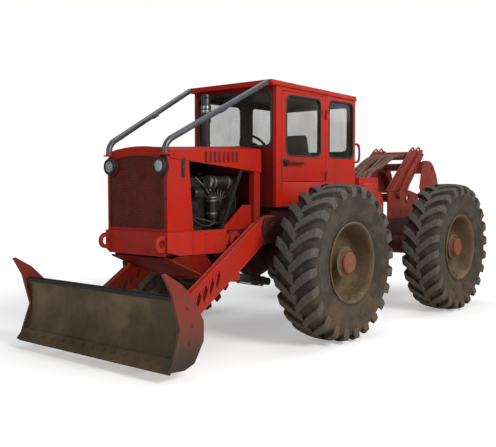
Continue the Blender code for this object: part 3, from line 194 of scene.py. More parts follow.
def makeGroups():
    # rubbed edges: where a rounded normal leaves the flat one, broken up by noise
    tree, given, out = newGroup("edgeWear", {"Width": 0.01, "Amount": 1.0, "Breakup": 14.0}, ["Mask"])
    rounded = put(tree, "Bevel", {"samples": 4}, Radius=given["Width"]).outputs[0]
    flat = put(tree, "NewGeometry").outputs["Normal"]
    turn = put(tree, "VectorMath", {"operation": "DOT_PRODUCT"}, i0=rounded, i1=flat).outputs["Value"]
    edge = ramp(tree, sums(tree, "SUBTRACT", 1.0, turn), 0.004, 0.12)
    broken = ramp(tree, noiseAt(tree, given["Breakup"], 6.0, 0.7), 0.42, 0.6)
    rubbed = times(tree, edge, broken)
    tree.links.new(sums(tree, "MULTIPLY", rubbed, given["Amount"], clamp=True), out["Mask"])

    # dust that lies on what faces up, and mud low down; on the rims the dust is laid on thickly and is partly
    # painted light on the lower inner barrel
    tree, given, out = newGroup("dustAndTopLight", {"Amount": 0.5, "Mud": 0.5, "Mud Height": 1.0}, ["Mask", "Mud"])
    up = put(tree, "SeparateXYZ", None, Vector=put(tree, "NewGeometry").outputs["Normal"]).outputs["Z"]
    cloud = noiseAt(tree, 5.0, 6.0, 0.65)
    fine = noiseAt(tree, 60.0, 3.0, 0.6)
    patches = ramp(tree, sums(tree, "ADD", cloud, times(tree, fine, 0.3)), 0.45, 0.85)
    lie = times(tree, ramp(tree, up, 0.15, 0.95, 0.18, 1.0), patches)
    tree.links.new(sums(tree, "MULTIPLY", lie, given["Amount"], clamp=True), out["Mask"])
    height = sums(tree, "DIVIDE", objectAxes(tree)["Z"], given["Mud Height"])
    low = sums(tree, "SUBTRACT", 1.0, height, clamp=True)
    ragged = times(tree, sums(tree, "SUBTRACT", cloud, 0.5), 1.2)
    splash = ramp(tree, sums(tree, "ADD", low, ragged), 0.1, 0.7)
    tree.links.new(sums(tree, "MULTIPLY", splash, given["Mud"], clamp=True), out["Mud"])

    # broad fading, streaks that run down, and rust spots
    tree, given, out = newGroup("ageing", {"Scale": 3.0}, ["Fade", "Streak", "Rust"])
    tree.links.new(ramp(tree, noiseAt(tree, given["Scale"], 7.0, 0.62), 0.36, 0.68), out["Fade"])
    tree.links.new(ramp(tree, noiseAt(tree, 9.0, 5.0, 0.7, (1, 1, 0.12)), 0.52, 0.78), out["Streak"])
    tree.links.new(ramp(tree, noiseAt(tree, 16.0, 8.0, 0.75), 0.64, 0.74), out["Rust"])

    # skin relief: dents, orange peel and grit as one height
    tree, given, out = newGroup("skinRelief", {"Dent": 1.0, "Grain": 0.2}, ["Height"])
    dents = times(tree, noiseAt(tree, 3.5, 3.0, 0.5), given["Dent"])
    grain = times(tree, noiseAt(tree, 160.0, 3.0, 0.6), given["Grain"])
    tree.links.new(sums(tree, "ADD", dents, grain), out["Height"])


makeGroups()


# materials
def startMaterial(name):
    material = bpy.data.materials.new(name)
    material.use_nodes = True
    return material, material.node_tree, material.node_tree.nodes["Principled BSDF"]


def endPlatePaint(tree, colour, age, wear, look):
    # the blade: a dark rim and top strip, and red paint high on its two end plates
    place = objectAxes(tree)
    outward = sums(tree, "ABSOLUTE", place["Y"])
    strip = ramp(tree, place["Z"], 0.662, 0.668)
    rim = sums(tree, "MAXIMUM", strip, ramp(tree, outward, 0.93, 1.09, 0.0, 0.55))
    colour = mixColour(tree, rim, colour, (0.030, 0.025, 0.020))
    above = ramp(tree, sums(tree, "ADD", place["Z"], times(tree, age["Fade"], -0.25)), 0.12, 0.50)
    paint = mixColour(tree, age["Streak"], (0.24, 0.030, 0.018), (0.10, 0.018, 0.011))
    paint = mixColour(tree, wear, paint, look["bare"])
    onPlate = ramp(tree, outward, look["redEnds"] - 0.003, look["redEnds"])
    return mixColour(tree, times(tree, onPlate, above, 0.9), colour, paint)


def bayPaintedShade(tree, colour, bayShade):
    # painted shade: the hood's frame is made near-black inside the slanting engine bay, standing for the
    # bay's shade
    place = objectAxes(tree)
    slope = sums(tree, "ADD", place["X"], times(tree, place["Z"], 0.9))
    forward = sums(tree, "GREATER_THAN", place["X"], bayShade[0])
    below = sums(tree, "GREATER_THAN", slope, bayShade[1])
    return mixColour(tree, times(tree, forward, below), colour, (0.022, 0.019, 0.018))


def paintedInsideShade(tree, colour, age, insideShade):
    # painted shade: the inner faces of the cab's walls and roof are made near-black, standing for the shade
    # inside the cab
    half, rear, front, top = insideShade
    place = objectAxes(tree)
    within = sums(tree, "LESS_THAN", sums(tree, "ABSOLUTE", place["Y"]), half)
    limits = (("X", "GREATER_THAN", rear), ("X", "LESS_THAN", front), ("Z", "LESS_THAN", top))
    for axis, test, limit in limits:
        within = times(tree, within, sums(tree, test, place[axis], limit))
    # the near-black colour of the painted inside shade
    trim = mixColour(tree, age["Fade"], (0.020, 0.019, 0.018), (0.040, 0.036, 0.032))
    return mixColour(tree, within, colour, trim)


def paintedSteel(name, look):
    material, tree, shader = startMaterial(name)
    age = useGroup(tree, "ageing", Scale=look.get("scale", 3.0)).outputs
    mud, mudHeight = look.get("mud", 0.0), look.get("mudHeight", 1.0)
    lie = useGroup(tree, "dustAndTopLight", Amount=look["dust"], Mud=mud, Mud_Height=mudHeight).outputs
    wear = useGroup(tree, "edgeWear", Width=look.get("edge", 0.008), Amount=look["wear"]).outputs["Mask"]
    colour = mixColour(tree, age["Fade"], look["base"], look["faded"])
    colour = mixColour(tree, times(tree, age["Streak"], look.get("streak", 0.5)), colour, look["deep"])
    colour = mixColour(tree, times(tree, age["Rust"], look["rust"]), colour, (0.10, 0.035, 0.015))
    colour = mixColour(tree, wear, colour, look["bare"])
    colour = mixColour(tree, lie["Mask"], colour, look.get("dustAndTopLightColour", (0.36, 0.27, 0.19)))
    colour = mixColour(tree, lie["Mud"], colour, look.get("mudColour", (0.13, 0.085, 0.05)))
    if "redEnds" in look:
        colour = endPlatePaint(tree, colour, age, wear, look)
    # painted shade on the hood frame inside the engine bay
    if "bayShade" in look:
        colour = bayPaintedShade(tree, colour, look["bayShade"])
    if "insideShade" in look:
        colour = paintedInsideShade(tree, colour, age, look["insideShade"])
    tree.links.new(colour, shader.inputs["Base Color"])
    shader.inputs["Specular IOR Level"].default_value = look.get("shine", 0.25)
    dirt = times(tree, sums(tree, "ADD", lie["Mask"], lie["Mud"]), 0.35)
    dull = sums(tree, "ADD", look["rough"], dirt)
    dull = sums(tree, "ADD", dull, times(tree, age["Fade"], 0.12), clamp=True)
    tree.links.new(dull, shader.inputs["Roughness"])
    tree.links.new(times(tree, wear, look.get("metal", 0.6)), shader.inputs["Metallic"])
    relief = useGroup(tree, "skinRelief", Dent=look.get("dent", 0.8), Grain=look.get("grain", 0.05))
    height = sums(tree, "SUBTRACT", relief.outputs["Height"], times(tree, wear, 0.08))
    bump = put(tree, "Bump", None, Strength=look.get("relief", 0.35), Distance=0.02, Height=height)
    tree.links.new(bump.outputs[0], shader.inputs["Normal"])
    return material


def plainSurface(name, look):
    # one colour family with grain, for rubber, cast parts, vinyl and rope
    material, tree, shader = startMaterial(name)
    cloud = noiseAt(tree, 6.0, 6.0, 0.65)
    colour = mixColour(tree, ramp(tree, cloud, 0.35, 0.68), look["base"], look["other"])
    if "dust" in look:
        lie = useGroup(tree, "dustAndTopLight", Amount=look["dust"], Mud=0.0).outputs
        colour = mixColour(tree, lie["Mask"], colour, (0.30, 0.24, 0.18))
    if "wear" in look:
        wear = useGroup(tree, "edgeWear", Width=0.006, Amount=look["wear"]).outputs["Mask"]
        colour = mixColour(tree, wear, colour, look["bare"])
    tree.links.new(colour, shader.inputs["Base Color"])
    rough = ramp(tree, cloud, 0.3, 0.7, look["rough"] - 0.08, look["rough"] + 0.1)
    tree.links.new(rough, shader.inputs["Roughness"])
    shader.inputs["Metallic"].default_value = look.get("metal", 0.0)
    grain = noiseAt(tree, look.get("grainScale", 120.0), 4.0, 0.6)
    bump = put(tree, "Bump", None, Strength=look.get("relief", 0.2), Distance=0.004, Height=grain)
    tree.links.new(bump.outputs[0], shader.inputs["Normal"])
    return material


def tyreRubber(name):
    # the attribute tread holds 0 in the grooves and 1 on the lugs' tops
    material, tree, shader = startMaterial(name)
    tread = put(tree, "Attribute", {"attribute_name": "tread"}).outputs["Fac"]
    cloud = noiseAt(tree, 7.0, 7.0, 0.65)
    fine = noiseAt(tree, 45.0, 5.0, 0.7)
    colour = mixColour(tree, ramp(tree, cloud, 0.35, 0.7), (0.036, 0.029, 0.021), (0.066, 0.053, 0.038))
    topShade = mixColour(tree, ramp(tree, fine, 0.35, 0.7), (0.074, 0.066, 0.056), (0.125, 0.111, 0.090))
    raised = sums(tree, "ADD", tread, times(tree, sums(tree, "SUBTRACT", fine, 0.5), 0.5))
    colour = mixColour(tree, ramp(tree, raised, 0.55, 1.0), colour, topShade)
    groove = times(tree, sums(tree, "SUBTRACT", 1.0, tread), ramp(tree, cloud, 0.45, 0.65), 0.55)
    colour = mixColour(tree, groove, colour, (0.10, 0.07, 0.045))
    low = ramp(tree, objectAxes(tree)["Z"], 0.15, 0.75, 0.75, 0.0)
    low = times(tree, low, ramp(tree, sums(tree, "ADD", cloud, times(tree, fine, 0.4)), 0.5, 0.85))
    colour = mixColour(tree, low, colour, (0.125, 0.078, 0.042))
    tree.links.new(colour, shader.inputs["Base Color"])
    tree.links.new(ramp(tree, cloud, 0.3, 0.7, 0.72, 0.95), shader.inputs["Roughness"])
    shader.inputs["Specular IOR Level"].default_value = 0.3
    height = sums(tree, "ADD", times(tree, cloud, 0.7), times(tree, fine, 0.35))
    bump = put(tree, "Bump", None, Strength=0.5, Distance=0.012, Height=height)
    tree.links.new(bump.outputs[0], shader.inputs["Normal"])
    return material


def tintedGlass(name, tint, rough, seeThrough):
    material, tree, shader = startMaterial(name)
    cloud = noiseAt(tree, 3.0, 4.0, 0.6)
    tinted = mixColour(tree, ramp(tree, cloud, 0.4, 0.7), tint, tuple(c * 1.5 for c in tint))
    tree.links.new(tinted, shader.inputs["Base Color"])
    tree.links.new(ramp(tree, cloud, 0.3, 0.7, rough, rough + 0.06), shader.inputs["Roughness"])
    cover = 1 - seeThrough
    tree.links.new(ramp(tree, cloud, 0.3, 0.75, cover, cover + 0.08), shader.inputs["Alpha"])
    shader.inputs["Specular IOR Level"].default_value = 0.5
    return material


finishes = {  # colours are linear red, green and blue; the other values run from 0 to 1 or are metres
    "redPaint": {
        "base": (0.50, 0.014, 0.005), "faded": (0.42, 0.022, 0.011), "deep": (0.27, 0.008, 0.004),
        "bare": (0.22, 0.085, 0.06), "wear": 0.75, "rust": 0.25, "dust": 0.03, "rough": 0.36, "edge": 0.006,
        "shine": 0.16,
    },
    "redWorn": {
        "base": (0.52, 0.020, 0.009), "faded": (0.40, 0.032, 0.020), "deep": (0.18, 0.010, 0.006),
        "bare": (0.17, 0.11, 0.085), "wear": 1.0, "rust": 0.75, "dust": 0.06, "mud": 0.16, "rough": 0.38,
        "edge": 0.012, "mudHeight": 0.9, "shine": 0.2,
    },
    "redDark": {
        "base": (0.085, 0.010, 0.007), "faded": (0.055, 0.011, 0.008), "deep": (0.030, 0.006, 0.005),
        "bare": (0.10, 0.075, 0.06), "wear": 0.7, "rust": 0.7, "dust": 0.22, "mud": 0.30, "rough": 0.55,
        "mudHeight": 1.1,
    },
    "redPink": {
        "base": (0.26, 0.022, 0.013), "faded": (0.28, 0.050, 0.032), "deep": (0.10, 0.018, 0.012),
        "bare": (0.20, 0.12, 0.09), "wear": 1.0, "rust": 0.9, "dust": 0.15, "mud": 0.2, "rough": 0.5,
        "edge": 0.012, "shine": 0.15,
    },
    "bladeEarth": {
        "base": (0.080, 0.052, 0.025), "faded": (0.200, 0.135, 0.068), "deep": (0.034, 0.021, 0.011),
        "bare": (0.20, 0.17, 0.13), "wear": 1.0, "rust": 0.5, "dust": 0.12, "mud": 0.45, "rough": 0.42,
        "edge": 0.010, "metal": 0.7, "streak": 0.6, "mudHeight": 0.45, "mudColour": (0.045, 0.028, 0.016),
        "grain": 0.25, "relief": 0.5, "redEnds": 1.064, "scale": 1.7,
    },
    "barPaint": {
        "base": (0.036, 0.043, 0.055), "faded": (0.062, 0.070, 0.084), "deep": (0.016, 0.019, 0.024),
        "bare": (0.30, 0.28, 0.26), "wear": 0.5, "rust": 0.25, "dust": 0.04, "rough": 0.27, "dent": 0.3,
        "shine": 0.9,
    },
    # dark mud-brown steel; its heavy dust on up-facing faces is partly real dust and partly painted light on
    # the lower inner barrel
    "rimMudAndTopLight": {
        "base": (0.105, 0.068, 0.036), "faded": (0.15, 0.100, 0.056), "deep": (0.040, 0.023, 0.012),
        "bare": (0.30, 0.24, 0.18), "wear": 0.5, "rust": 0.8, "dust": 0.95, "rough": 0.6, "grain": 0.3,
        "streak": 0.9, "dustAndTopLightColour": (0.30, 0.215, 0.130), "shine": 0.1,
    },
    "hubRed": {
        "base": (0.23, 0.050, 0.027), "faded": (0.22, 0.085, 0.050), "deep": (0.11, 0.030, 0.018),
        "bare": (0.32, 0.25, 0.20), "wear": 0.9, "rust": 0.9, "dust": 0.14, "rough": 0.52, "grain": 0.2,
    },
    # red paint of the cab, with painted shade on its inner faces
    "cabPaintAndInsideShade": {
        "base": (0.50, 0.014, 0.005), "faded": (0.42, 0.022, 0.011), "deep": (0.27, 0.008, 0.004),
        "bare": (0.22, 0.085, 0.06), "wear": 0.75, "rust": 0.28, "dust": 0.03, "rough": 0.36, "edge": 0.006,
        "insideShade": (0.575, -0.500, 1.030, 2.70), "shine": 0.16,
    },
    # painted shade: a darker copy of the cab's red paint, standing for the shade on the cab's front under the
    # roof; its inner faces get painted shade too
    "cabFrontPaintedShade": {
        "base": (0.17, 0.009, 0.005), "faded": (0.13, 0.010, 0.007), "deep": (0.08, 0.006, 0.004),
        "bare": (0.18, 0.07, 0.05), "wear": 0.6, "rust": 0.3, "dust": 0.03, "rough": 0.4, "edge": 0.006,
        "shine": 0.15, "insideShade": (0.575, -0.500, 1.030, 2.70),
    },
    # painted shade: a darker copy of the worn red, standing for the shade on the belly pan's front slope
    "redBellyShaded": {
        "base": (0.24, 0.010, 0.005), "faded": (0.16, 0.010, 0.006), "deep": (0.09, 0.006, 0.004),
        "bare": (0.17, 0.10, 0.08), "wear": 0.9, "rust": 0.7, "dust": 0.04, "mud": 0.12, "rough": 0.5,
        "edge": 0.010, "shine": 0.06,
    },
    "meshRed": {
        "base": (0.20, 0.014, 0.008), "faded": (0.15, 0.016, 0.010), "deep": (0.09, 0.008, 0.006),
        "bare": (0.20, 0.09, 0.06), "wear": 0.6, "rust": 0.4, "dust": 0.05, "rough": 0.45,
    },
    # red paint of the hood frame, slightly darker, with painted shade inside the engine bay
    "bayPaintAndShade": {
        "base": (0.46, 0.014, 0.006), "faded": (0.38, 0.022, 0.011), "deep": (0.22, 0.008, 0.004),
        "bare": (0.22, 0.085, 0.06), "wear": 0.75, "rust": 0.3, "dust": 0.04, "rough": 0.38, "shine": 0.15,
        "bayShade": (1.21, 2.718),
    },
    "steelDark": {
        "base": (0.024, 0.023, 0.022), "faded": (0.045, 0.040, 0.035), "deep": (0.012, 0.011, 0.010),
        "bare": (0.20, 0.19, 0.17), "wear": 0.7, "rust": 0.7, "dust": 0.18, "mud": 0.2, "rough": 0.45,
    },
}
surfaces = {
    # near-black iron, partly the engine's own dark colour and partly painted shade for the engine bay
    "darkIronAndShade": {
        "base": (0.006, 0.006, 0.006), "other": (0.018, 0.014, 0.011), "rough": 0.42, "dust": 0.10,
        "wear": 0.5, "bare": (0.12, 0.11, 0.10), "relief": 0.3,
    },
    "stackDark": {
        "base": (0.050, 0.048, 0.046), "other": (0.10, 0.092, 0.085), "rough": 0.38, "metal": 0.7,
        "dust": 0.1, "wear": 0.4, "bare": (0.30, 0.29, 0.28),
    },
    # black rubber, also used for black strips and plates that paint shade in the hood's louvre openings and
    # latch wells
    "blackRubberAndShade": {
        "base": (0.010, 0.010, 0.010), "other": (0.022, 0.021, 0.020), "rough": 0.6, "dust": 0.12,
    },
    "hoseBrown": {
        "base": (0.095, 0.036, 0.022), "other": (0.19, 0.085, 0.050), "rough": 0.62, "dust": 0.2,
        "grainScale": 80.0,
    },
    "seatVinyl": {
        "base": (0.018, 0.019, 0.021), "other": (0.035, 0.035, 0.037), "rough": 0.5, "relief": 0.35,
        "grainScale": 220.0,
    },
    "brightSteel": {"base": (0.42, 0.41, 0.40), "other": (0.28, 0.26, 0.24), "rough": 0.32, "metal": 0.9},
    "chromeSmooth": {
        "base": (0.58, 0.57, 0.56), "other": (0.48, 0.46, 0.44), "rough": 0.16, "metal": 1.0,
        "relief": 0.05,
    },
    "ropeSteel": {
        "base": (0.10, 0.075, 0.050), "other": (0.20, 0.17, 0.14), "rough": 0.5, "metal": 0.6,
        "relief": 0.5, "grainScale": 260.0,
    },
}
materials = {name: paintedSteel(name, look) for name, look in finishes.items()}
materials.update({name: plainSurface(name, look) for name, look in surfaces.items()})
materials["tyreRubber"] = tyreRubber("tyreRubber")
materials["windowTint"] = tintedGlass("windowTint", (0.050, 0.040, 0.028), 0.05, 0.84)
materials["lampGlass"] = tintedGlass("lampGlass", (0.55, 0.57, 0.58), 0.05, 0.72)
print("materials made", len(materials))


# mesh helpers
def pieceFrom(name, points, faces, body, finish, smooth=True, hides=()):
    mesh = bpy.data.meshes.new(name)
    mesh.from_pydata([tuple(p) for p in points], [], faces)
    form = bmesh.new()
    form.from_mesh(mesh)
    bmesh.ops.recalc_face_normals(form, faces=form.faces)
    form.to_mesh(mesh)
    form.free()
    piece = bpy.data.objects.new(name, mesh)
    bpy.context.scene.collection.objects.link(piece)
    mesh.materials.append(materials[finish])
    if smooth:
        for polygon in mesh.polygons:
            polygon.use_smooth = True
        mesh.set_sharp_from_angle(angle=math.radians(32))
    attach(piece, body)
    if hides:
        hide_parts(*hides)
    return piece


def wrapRows(rows, sides, closed=False, start=0):
    # faces between rows of points, each row a ring; closed joins the last row to the first
    faces = []
    for row in range(rows if closed else rows - 1):
        here, below = start + row * sides, start + (row + 1) % rows * sides
        for i in range(sides):
            j = (i + 1) % sides
            faces.append([here + i, here + j, below + j, below + i])
    if not closed:
        faces.append([start + i for i in range(sides)])
        faces.append([start + (rows - 1) * sides + i for i in range(sides)])
    return faces


def around(flatAxis, radius, angle, along=0.0):
    # a step from a centre to a circle round that axis
    u, v = radius * math.cos(angle), radius * math.sin(angle)
    return Vector({"x": (along, u, v), "y": (u, along, v), "z": (u, v, along)}[flatAxis])


class Heap:
    # gathers many small shapes into one piece
    def __init__(self):
        self.points, self.faces = [], []

    def add(self, points, faces):
        start = len(self.points)
        self.points += [Vector(p) for p in points]
        self.faces += [[i + start for i in face] for face in faces]

    def addForm(self, form, place=lambda p: p.copy()):
        form.verts.index_update()
        self.add([place(v.co) for v in form.verts], [[v.index for v in f.verts] for f in form.faces])
        form.free()

    def lathe(self, profile, centre, axis, steps=48, closed=False):
        # profile holds (radius, distance along the axis)
        axis = Vector(axis).normalized()
        side = axis.orthogonal().normalized()
        other = axis.cross(side)
        points = []
        for radius, along in profile:
            for i in range(steps):
                angle = math.tau * i / steps
                spoke = side * math.cos(angle) + other * math.sin(angle)
                points.append(Vector(centre) + axis * along + spoke * radius)
        self.add(points, wrapRows(len(profile), steps, closed))

    def block(self, low, high, round=0.0, turn=None):
        # a box with chamfered edges; turn is a matrix about its middle
        form = bmesh.new()
        bmesh.ops.create_cube(form, size=1)
        middle = (Vector(low) + Vector(high)) / 2
        size = Vector(high) - Vector(low)
        for vert in form.verts:
            vert.co = vert.co * size
        if round:
            bmesh.ops.bevel(form, geom=form.edges[:], offset=round, segments=2, affect="EDGES", profile=0.5)
        spin = turn or Matrix.Identity(3)
        self.addForm(form, lambda p: middle + spin @ p)

    def pipe(self, route, radius, sides=10, smoothSteps=0):
        route = [Vector(p) for p in route]
        if smoothSteps:
            route = smoothRoute(route, smoothSteps)
        side = None
        points = []
        for index, here in enumerate(route):
            before, after = route[max(index - 1, 0)], route[min(index + 1, len(route) - 1)]
            along = (after - before).normalized()
            side = along.orthogonal() if side is None else side - along * side.dot(along)
            side.normalize()
            other = along.cross(side)
            for i in range(sides):
                angle = math.tau * i / sides
                points.append(here + (side * math.cos(angle) + other * math.sin(angle)) * radius)
        self.add(points, wrapRows(len(route), sides))

    def bolt(self, place, outward, radius=0.012, tall=0.010):
        # washer, hexagon head and its chamfered top
        washer = [(radius * 1.25, -0.002), (radius * 1.25, 0.002), (radius * 1.05, 0.003)]
        self.lathe(washer, place, outward, 16)
        self.lathe([(radius, 0.001), (radius, tall - 0.002), (radius * 0.8, tall)], place, outward, 6)

    def boltRing(self, centre, flatAxis, along, circle, count, first, outward, radius, tall):
        # bolts on a circle; first is the share of a step that the first one is turned by
        for k in range(count):
            angle = math.tau * (k + first) / count
            self.bolt(centre + around(flatAxis, circle, angle, along), outward, radius, tall)

    def plate(self, outline, flatAxis, low, high, round=0.0):
        # outline lies across flatAxis, which runs from low to high
        def at(u, v, w):
            return {"x": (w, u, v), "y": (u, w, v), "z": (u, v, w)}[flatAxis]
        form = bmesh.new()
        bottom = [form.verts.new(at(u, v, low)) for u, v in outline]
        top = [form.verts.new(at(u, v, high)) for u, v in outline]
        form.faces.new(bottom)
        form.faces.new(top)
        count = len(outline)
        for i in range(count):
            form.faces.new([bottom[i], bottom[(i + 1) % count], top[(i + 1) % count], top[i]])
        bmesh.ops.recalc_face_normals(form, faces=form.faces)
        if round:
            rim = [e for e in form.edges if e.calc_face_angle(0) > 0.5]
            bmesh.ops.bevel(form, geom=rim, offset=round, segments=2, affect="EDGES", profile=0.5)
        self.addForm(form)

    def make(self, name, body, finish, slotName=None, hides=(), smooth=True):
        return pieceFrom(name, self.points, self.faces, body, finish, smooth, hides)


def smoothRoute(route, steps):
    # a curve through every point of the route
    made = []
    for i in range(len(route) - 1):
        a, b = route[max(i - 1, 0)], route[i]
        c, d = route[i + 1], route[min(i + 2, len(route) - 1)]
        for step in range(steps):
            t = step / steps
            bend = (2 * a - 5 * b + 4 * c - d) * t * t + (3 * b - a - 3 * c + d) * t ** 3
            made.append(0.5 * ((2 * b) + (c - a) * t + bend))
    return made + [route[-1]]


def dress(node, finish, round):
    # a CAD node keeps its shape; its edges are rounded and it gets its finish
    piece = nodes[node]
    piece.data.materials.clear()
    piece.data.materials.append(materials[finish])
    weld = piece.modifiers.new("weld", "WELD")
    weld.merge_threshold = 0.00005
    if round:
        flatten = piece.modifiers.new("flatten", "DECIMATE")
        flatten.decimate_type = "DISSOLVE"
        flatten.angle_limit = math.radians(0.5)
        bevel = piece.modifiers.new("roundEdges", "BEVEL")
        bevel.width = round
        bevel.segments = 2
        bevel.limit_method = "ANGLE"
        bevel.angle_limit = math.radians(35)
        bevel.use_clamp_overlap = True
    for polygon in piece.data.polygons:
        polygon.use_smooth = True
    sharp = piece.modifiers.new("smoothFaces", "WEIGHTED_NORMAL")
    sharp.keep_sharp = True


# wheels
wheel = {
    "lugs": 24, "steps": 120, "lugTop": 0.056, "lugBase": 0.070,
    "path": [  # (y, top radius, base radius, turn) of a lug from the middle to the sidewall
        (-0.018, 0.8262, 0.772, -0.030), (0.004, 0.8270, 0.772, -0.008), (0.045, 0.8268, 0.772, 0.042),
        (0.095, 0.8245, 0.770, 0.098), (0.145, 0.8190, 0.764, 0.145), (0.190, 0.8105, 0.756, 0.180),
        (0.220, 0.7990, 0.742, 0.198),
    ],
    "side": [  # (y, top radius, base y, base radius, turn) where a lug runs down the sidewall
        (0.2325, 0.7800, 0.204, 0.735, 0.207), (0.2346, 0.7500, 0.208, 0.722, 0.214),
        (0.2335, 0.7150, 0.214, 0.705, 0.220), (0.2290, 0.6850, 0.216, 0.685, 0.224),
    ],
    "carcass": [  # (radius, y) from the bead to the crown
        (0.414, 0.172), (0.420, 0.188), (0.437, 0.192), (0.450, 0.190), (0.464, 0.200), (0.490, 0.2110),
        (0.498, 0.2145), (0.508, 0.2130), (0.550, 0.2220), (0.600, 0.2290), (0.645, 0.2310), (0.650, 0.2335),
        (0.662, 0.2325), (0.690, 0.2260), (0.720, 0.2160), (0.745, 0.2010), (0.762, 0.1800), (0.772, 0.1500),
        (0.779, 0.1000), (0.782, 0.0450), (0.783, 0.0),
    ],
    "rim": [  # (radius, distance outward), all round the rolled steel
        (0.406, -0.206), (0.420, -0.208), (0.425, -0.200), (0.418, -0.186), (0.4095, -0.184), (0.4090, 0.184),
        (0.418, 0.186), (0.425, 0.196), (0.425, 0.204), (0.418, 0.208), (0.408, 0.205), (0.400, 0.195),
        (0.393, 0.176), (0.390, 0.150), (0.388, 0.040), (0.381, -0.010), (0.366, -0.048), (0.338, -0.064),
        (0.300, -0.067), (0.230, -0.060), (0.200, -0.054), (0.200, -0.082), (0.343, -0.088), (0.383, -0.070),
        (0.393, -0.12), (0.400, -0.19),
    ],
    "disc": [
        (0.100, -0.129), (0.117, -0.128), (0.118, -0.082), (0.202, -0.080), (0.202, -0.050), (0.196, -0.044),
        (0.165, -0.038),
    ],
    "drum": [
        (0.172, -0.045), (0.170, -0.032), (0.163, -0.024), (0.160, -0.012), (0.160, 0.098), (0.164, 0.100),
        (0.164, 0.110), (0.158, 0.116), (0.120, 0.119), (0.120, 0.100),
    ],
    "hub": [
        (0.119, 0.114), (0.1185, 0.128), (0.114, 0.132), (0.1135, 0.160), (0.107, 0.169), (0.096, 0.173),
        (0.060, 0.175), (0.054, 0.170), (0.036, 0.170), (0.030, 0.176), (0.001, 0.178),
    ],
    "valve": [(0, 0.150, -0.385), (0.01, 0.165, -0.366), (0.018, 0.185, -0.356)],
}
lugShade = (0.0, 0.5, 0.9, 1.0, 1.0, 0.9, 0.5, 0.0)  # the tread value round a lug's section


def lugSections(start, low):
    # (angle, y, radius, half width) up one flank of a lug, for each section along it
    sections = []
    for index, (y, top, base, turn) in enumerate(wheel["path"]):
        spread = 1 + 0.10 * index / len(wheel["path"])
        wide, at = wheel["lugTop"] * spread, start + turn
        sections.append([
            (at, y, base, wheel["lugBase"] * spread), (at, y, (base + top * 3) / 4 - 0.002, wide * 1.06),
            (at, y, top - 0.004 - low, wide), (at, y, top - low, wide * 0.88),
        ])
    for y, top, baseY, base, turn in wheel["side"]:
        wide, at = wheel["lugTop"] * 1.06, start + turn
        sections.append([
            (at, baseY, base, wide * 1.2), (at, (baseY + y * 3) / 4, (base + top * 3) / 4, wide * 1.06),
            (at, y - 0.002, top - 0.002, wide), (at, y, top, wide * 0.85),
        ])
    return sections


def tyreShape():
    # (points, faces, tread) of a tyre about the origin, its axle along y
    rng = random.Random(7)
    half = wheel["carcass"]
    profile = half + [(r, -y) for r, y in reversed(half[:-1])]
    steps = wheel["steps"]
    points, tread = [], []
    for r, y in profile:
        for i in range(steps):
            points.append(around("y", r, math.tau * i / steps, y))
            tread.append(0.25 if 0.5 < r < 0.74 else 0.0)
    faces = wrapRows(len(profile), steps, True)
    pitch = math.tau / wheel["lugs"]
    for side in (1, -1):
        for k in range(wheel["lugs"]):
            start = pitch * (k + (0.5 if side < 0 else 0)) + rng.uniform(-0.004, 0.004)
            sections = lugSections(start, rng.uniform(0, 0.0025))
            faces += wrapRows(len(sections), 8, False, len(points))
            for section in sections:
                ring = [(a - w, y, r) for a, y, r, w in section]
                ring += [(a + w, y, r) for a, y, r, w in reversed(section)]
                for order, (a, y, r) in enumerate(ring):
                    r += rng.uniform(-0.0012, 0.0006) if 1 < order < 6 else 0
                    points.append(around("y", r, a, side * y))
                    tread.append(lugShade[order])
    return points, faces, tread


def makeWheel(end, side, shape):
    name = f"{end}_{side}"
    body = f"wheel_{name}"
    low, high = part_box(f"tyre_{name}")
    centre = (low + high) / 2
    out = 1 if side == "left" else -1
    axle = (0, out, 0)
    points, faces, tread = shape
    seated = [p + centre for p in points]
    hidden = [f"tyre_{name}"]
    tyre = pieceFrom(f"tyre_{name}_tread", seated, faces, body, "tyreRubber", True, hidden)
    layer = tyre.data.attributes.new("tread", "FLOAT", "POINT")
    layer.data.foreach_set("value", tread)
    rim = Heap()
    rim.lathe(wheel["rim"], centre, axle, 96, True)
    rim.lathe(wheel["disc"], centre, axle, 72)
    rim.lathe(wheel["drum"], centre, axle, 64)
    rim.boltRing(centre, "y", out * -0.044, 0.183, 10, 0.5, axle, 0.013, 0.020)
    rim.boltRing(centre, "y", out * 0.1175, 0.140, 10, 0.5, axle, 0.009, 0.009)
    rim.pipe([centre + Vector((x, out * y, z)) for x, y, z in wheel["valve"]], 0.006, 8)
    rim.make(f"rim_{name}_dish", body, "rimMudAndTopLight", "rim_steel", [f"rim_{name}"])
    hub = Heap()
    hub.lathe(wheel["hub"], centre, axle, 64)
    hub.boltRing(centre, "y", out * 0.1735, 0.082, 8, 0, axle, 0.008, 0.007)
    hub.make(f"hub_{name}", body, "hubRed", "rim_steel")


tyreData = tyreShape()
for end in ("front", "rear"):
    for side in ("left", "right"):
        makeWheel(end, side, tyreData)
print("wheels made")


# places are stations, counted along x from the front axle
frontAxle = sum(corner.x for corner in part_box("tyre_front_left")) / 2


def spot(x, y, z):
    return Vector((frontAxle + x, y, z))


def spots(side, *places):
    # the same places on the left (1) or the right (-1)
    return [spot(x, side * y, z) for x, y, z in places]


def fromAxle(outline):
    return [(frontAxle + u, v) for u, v in outline]


def facing(side, inner, outer):
    # the low and high y of something between two distances out on one side
    return sorted((side * inner, side * outer))


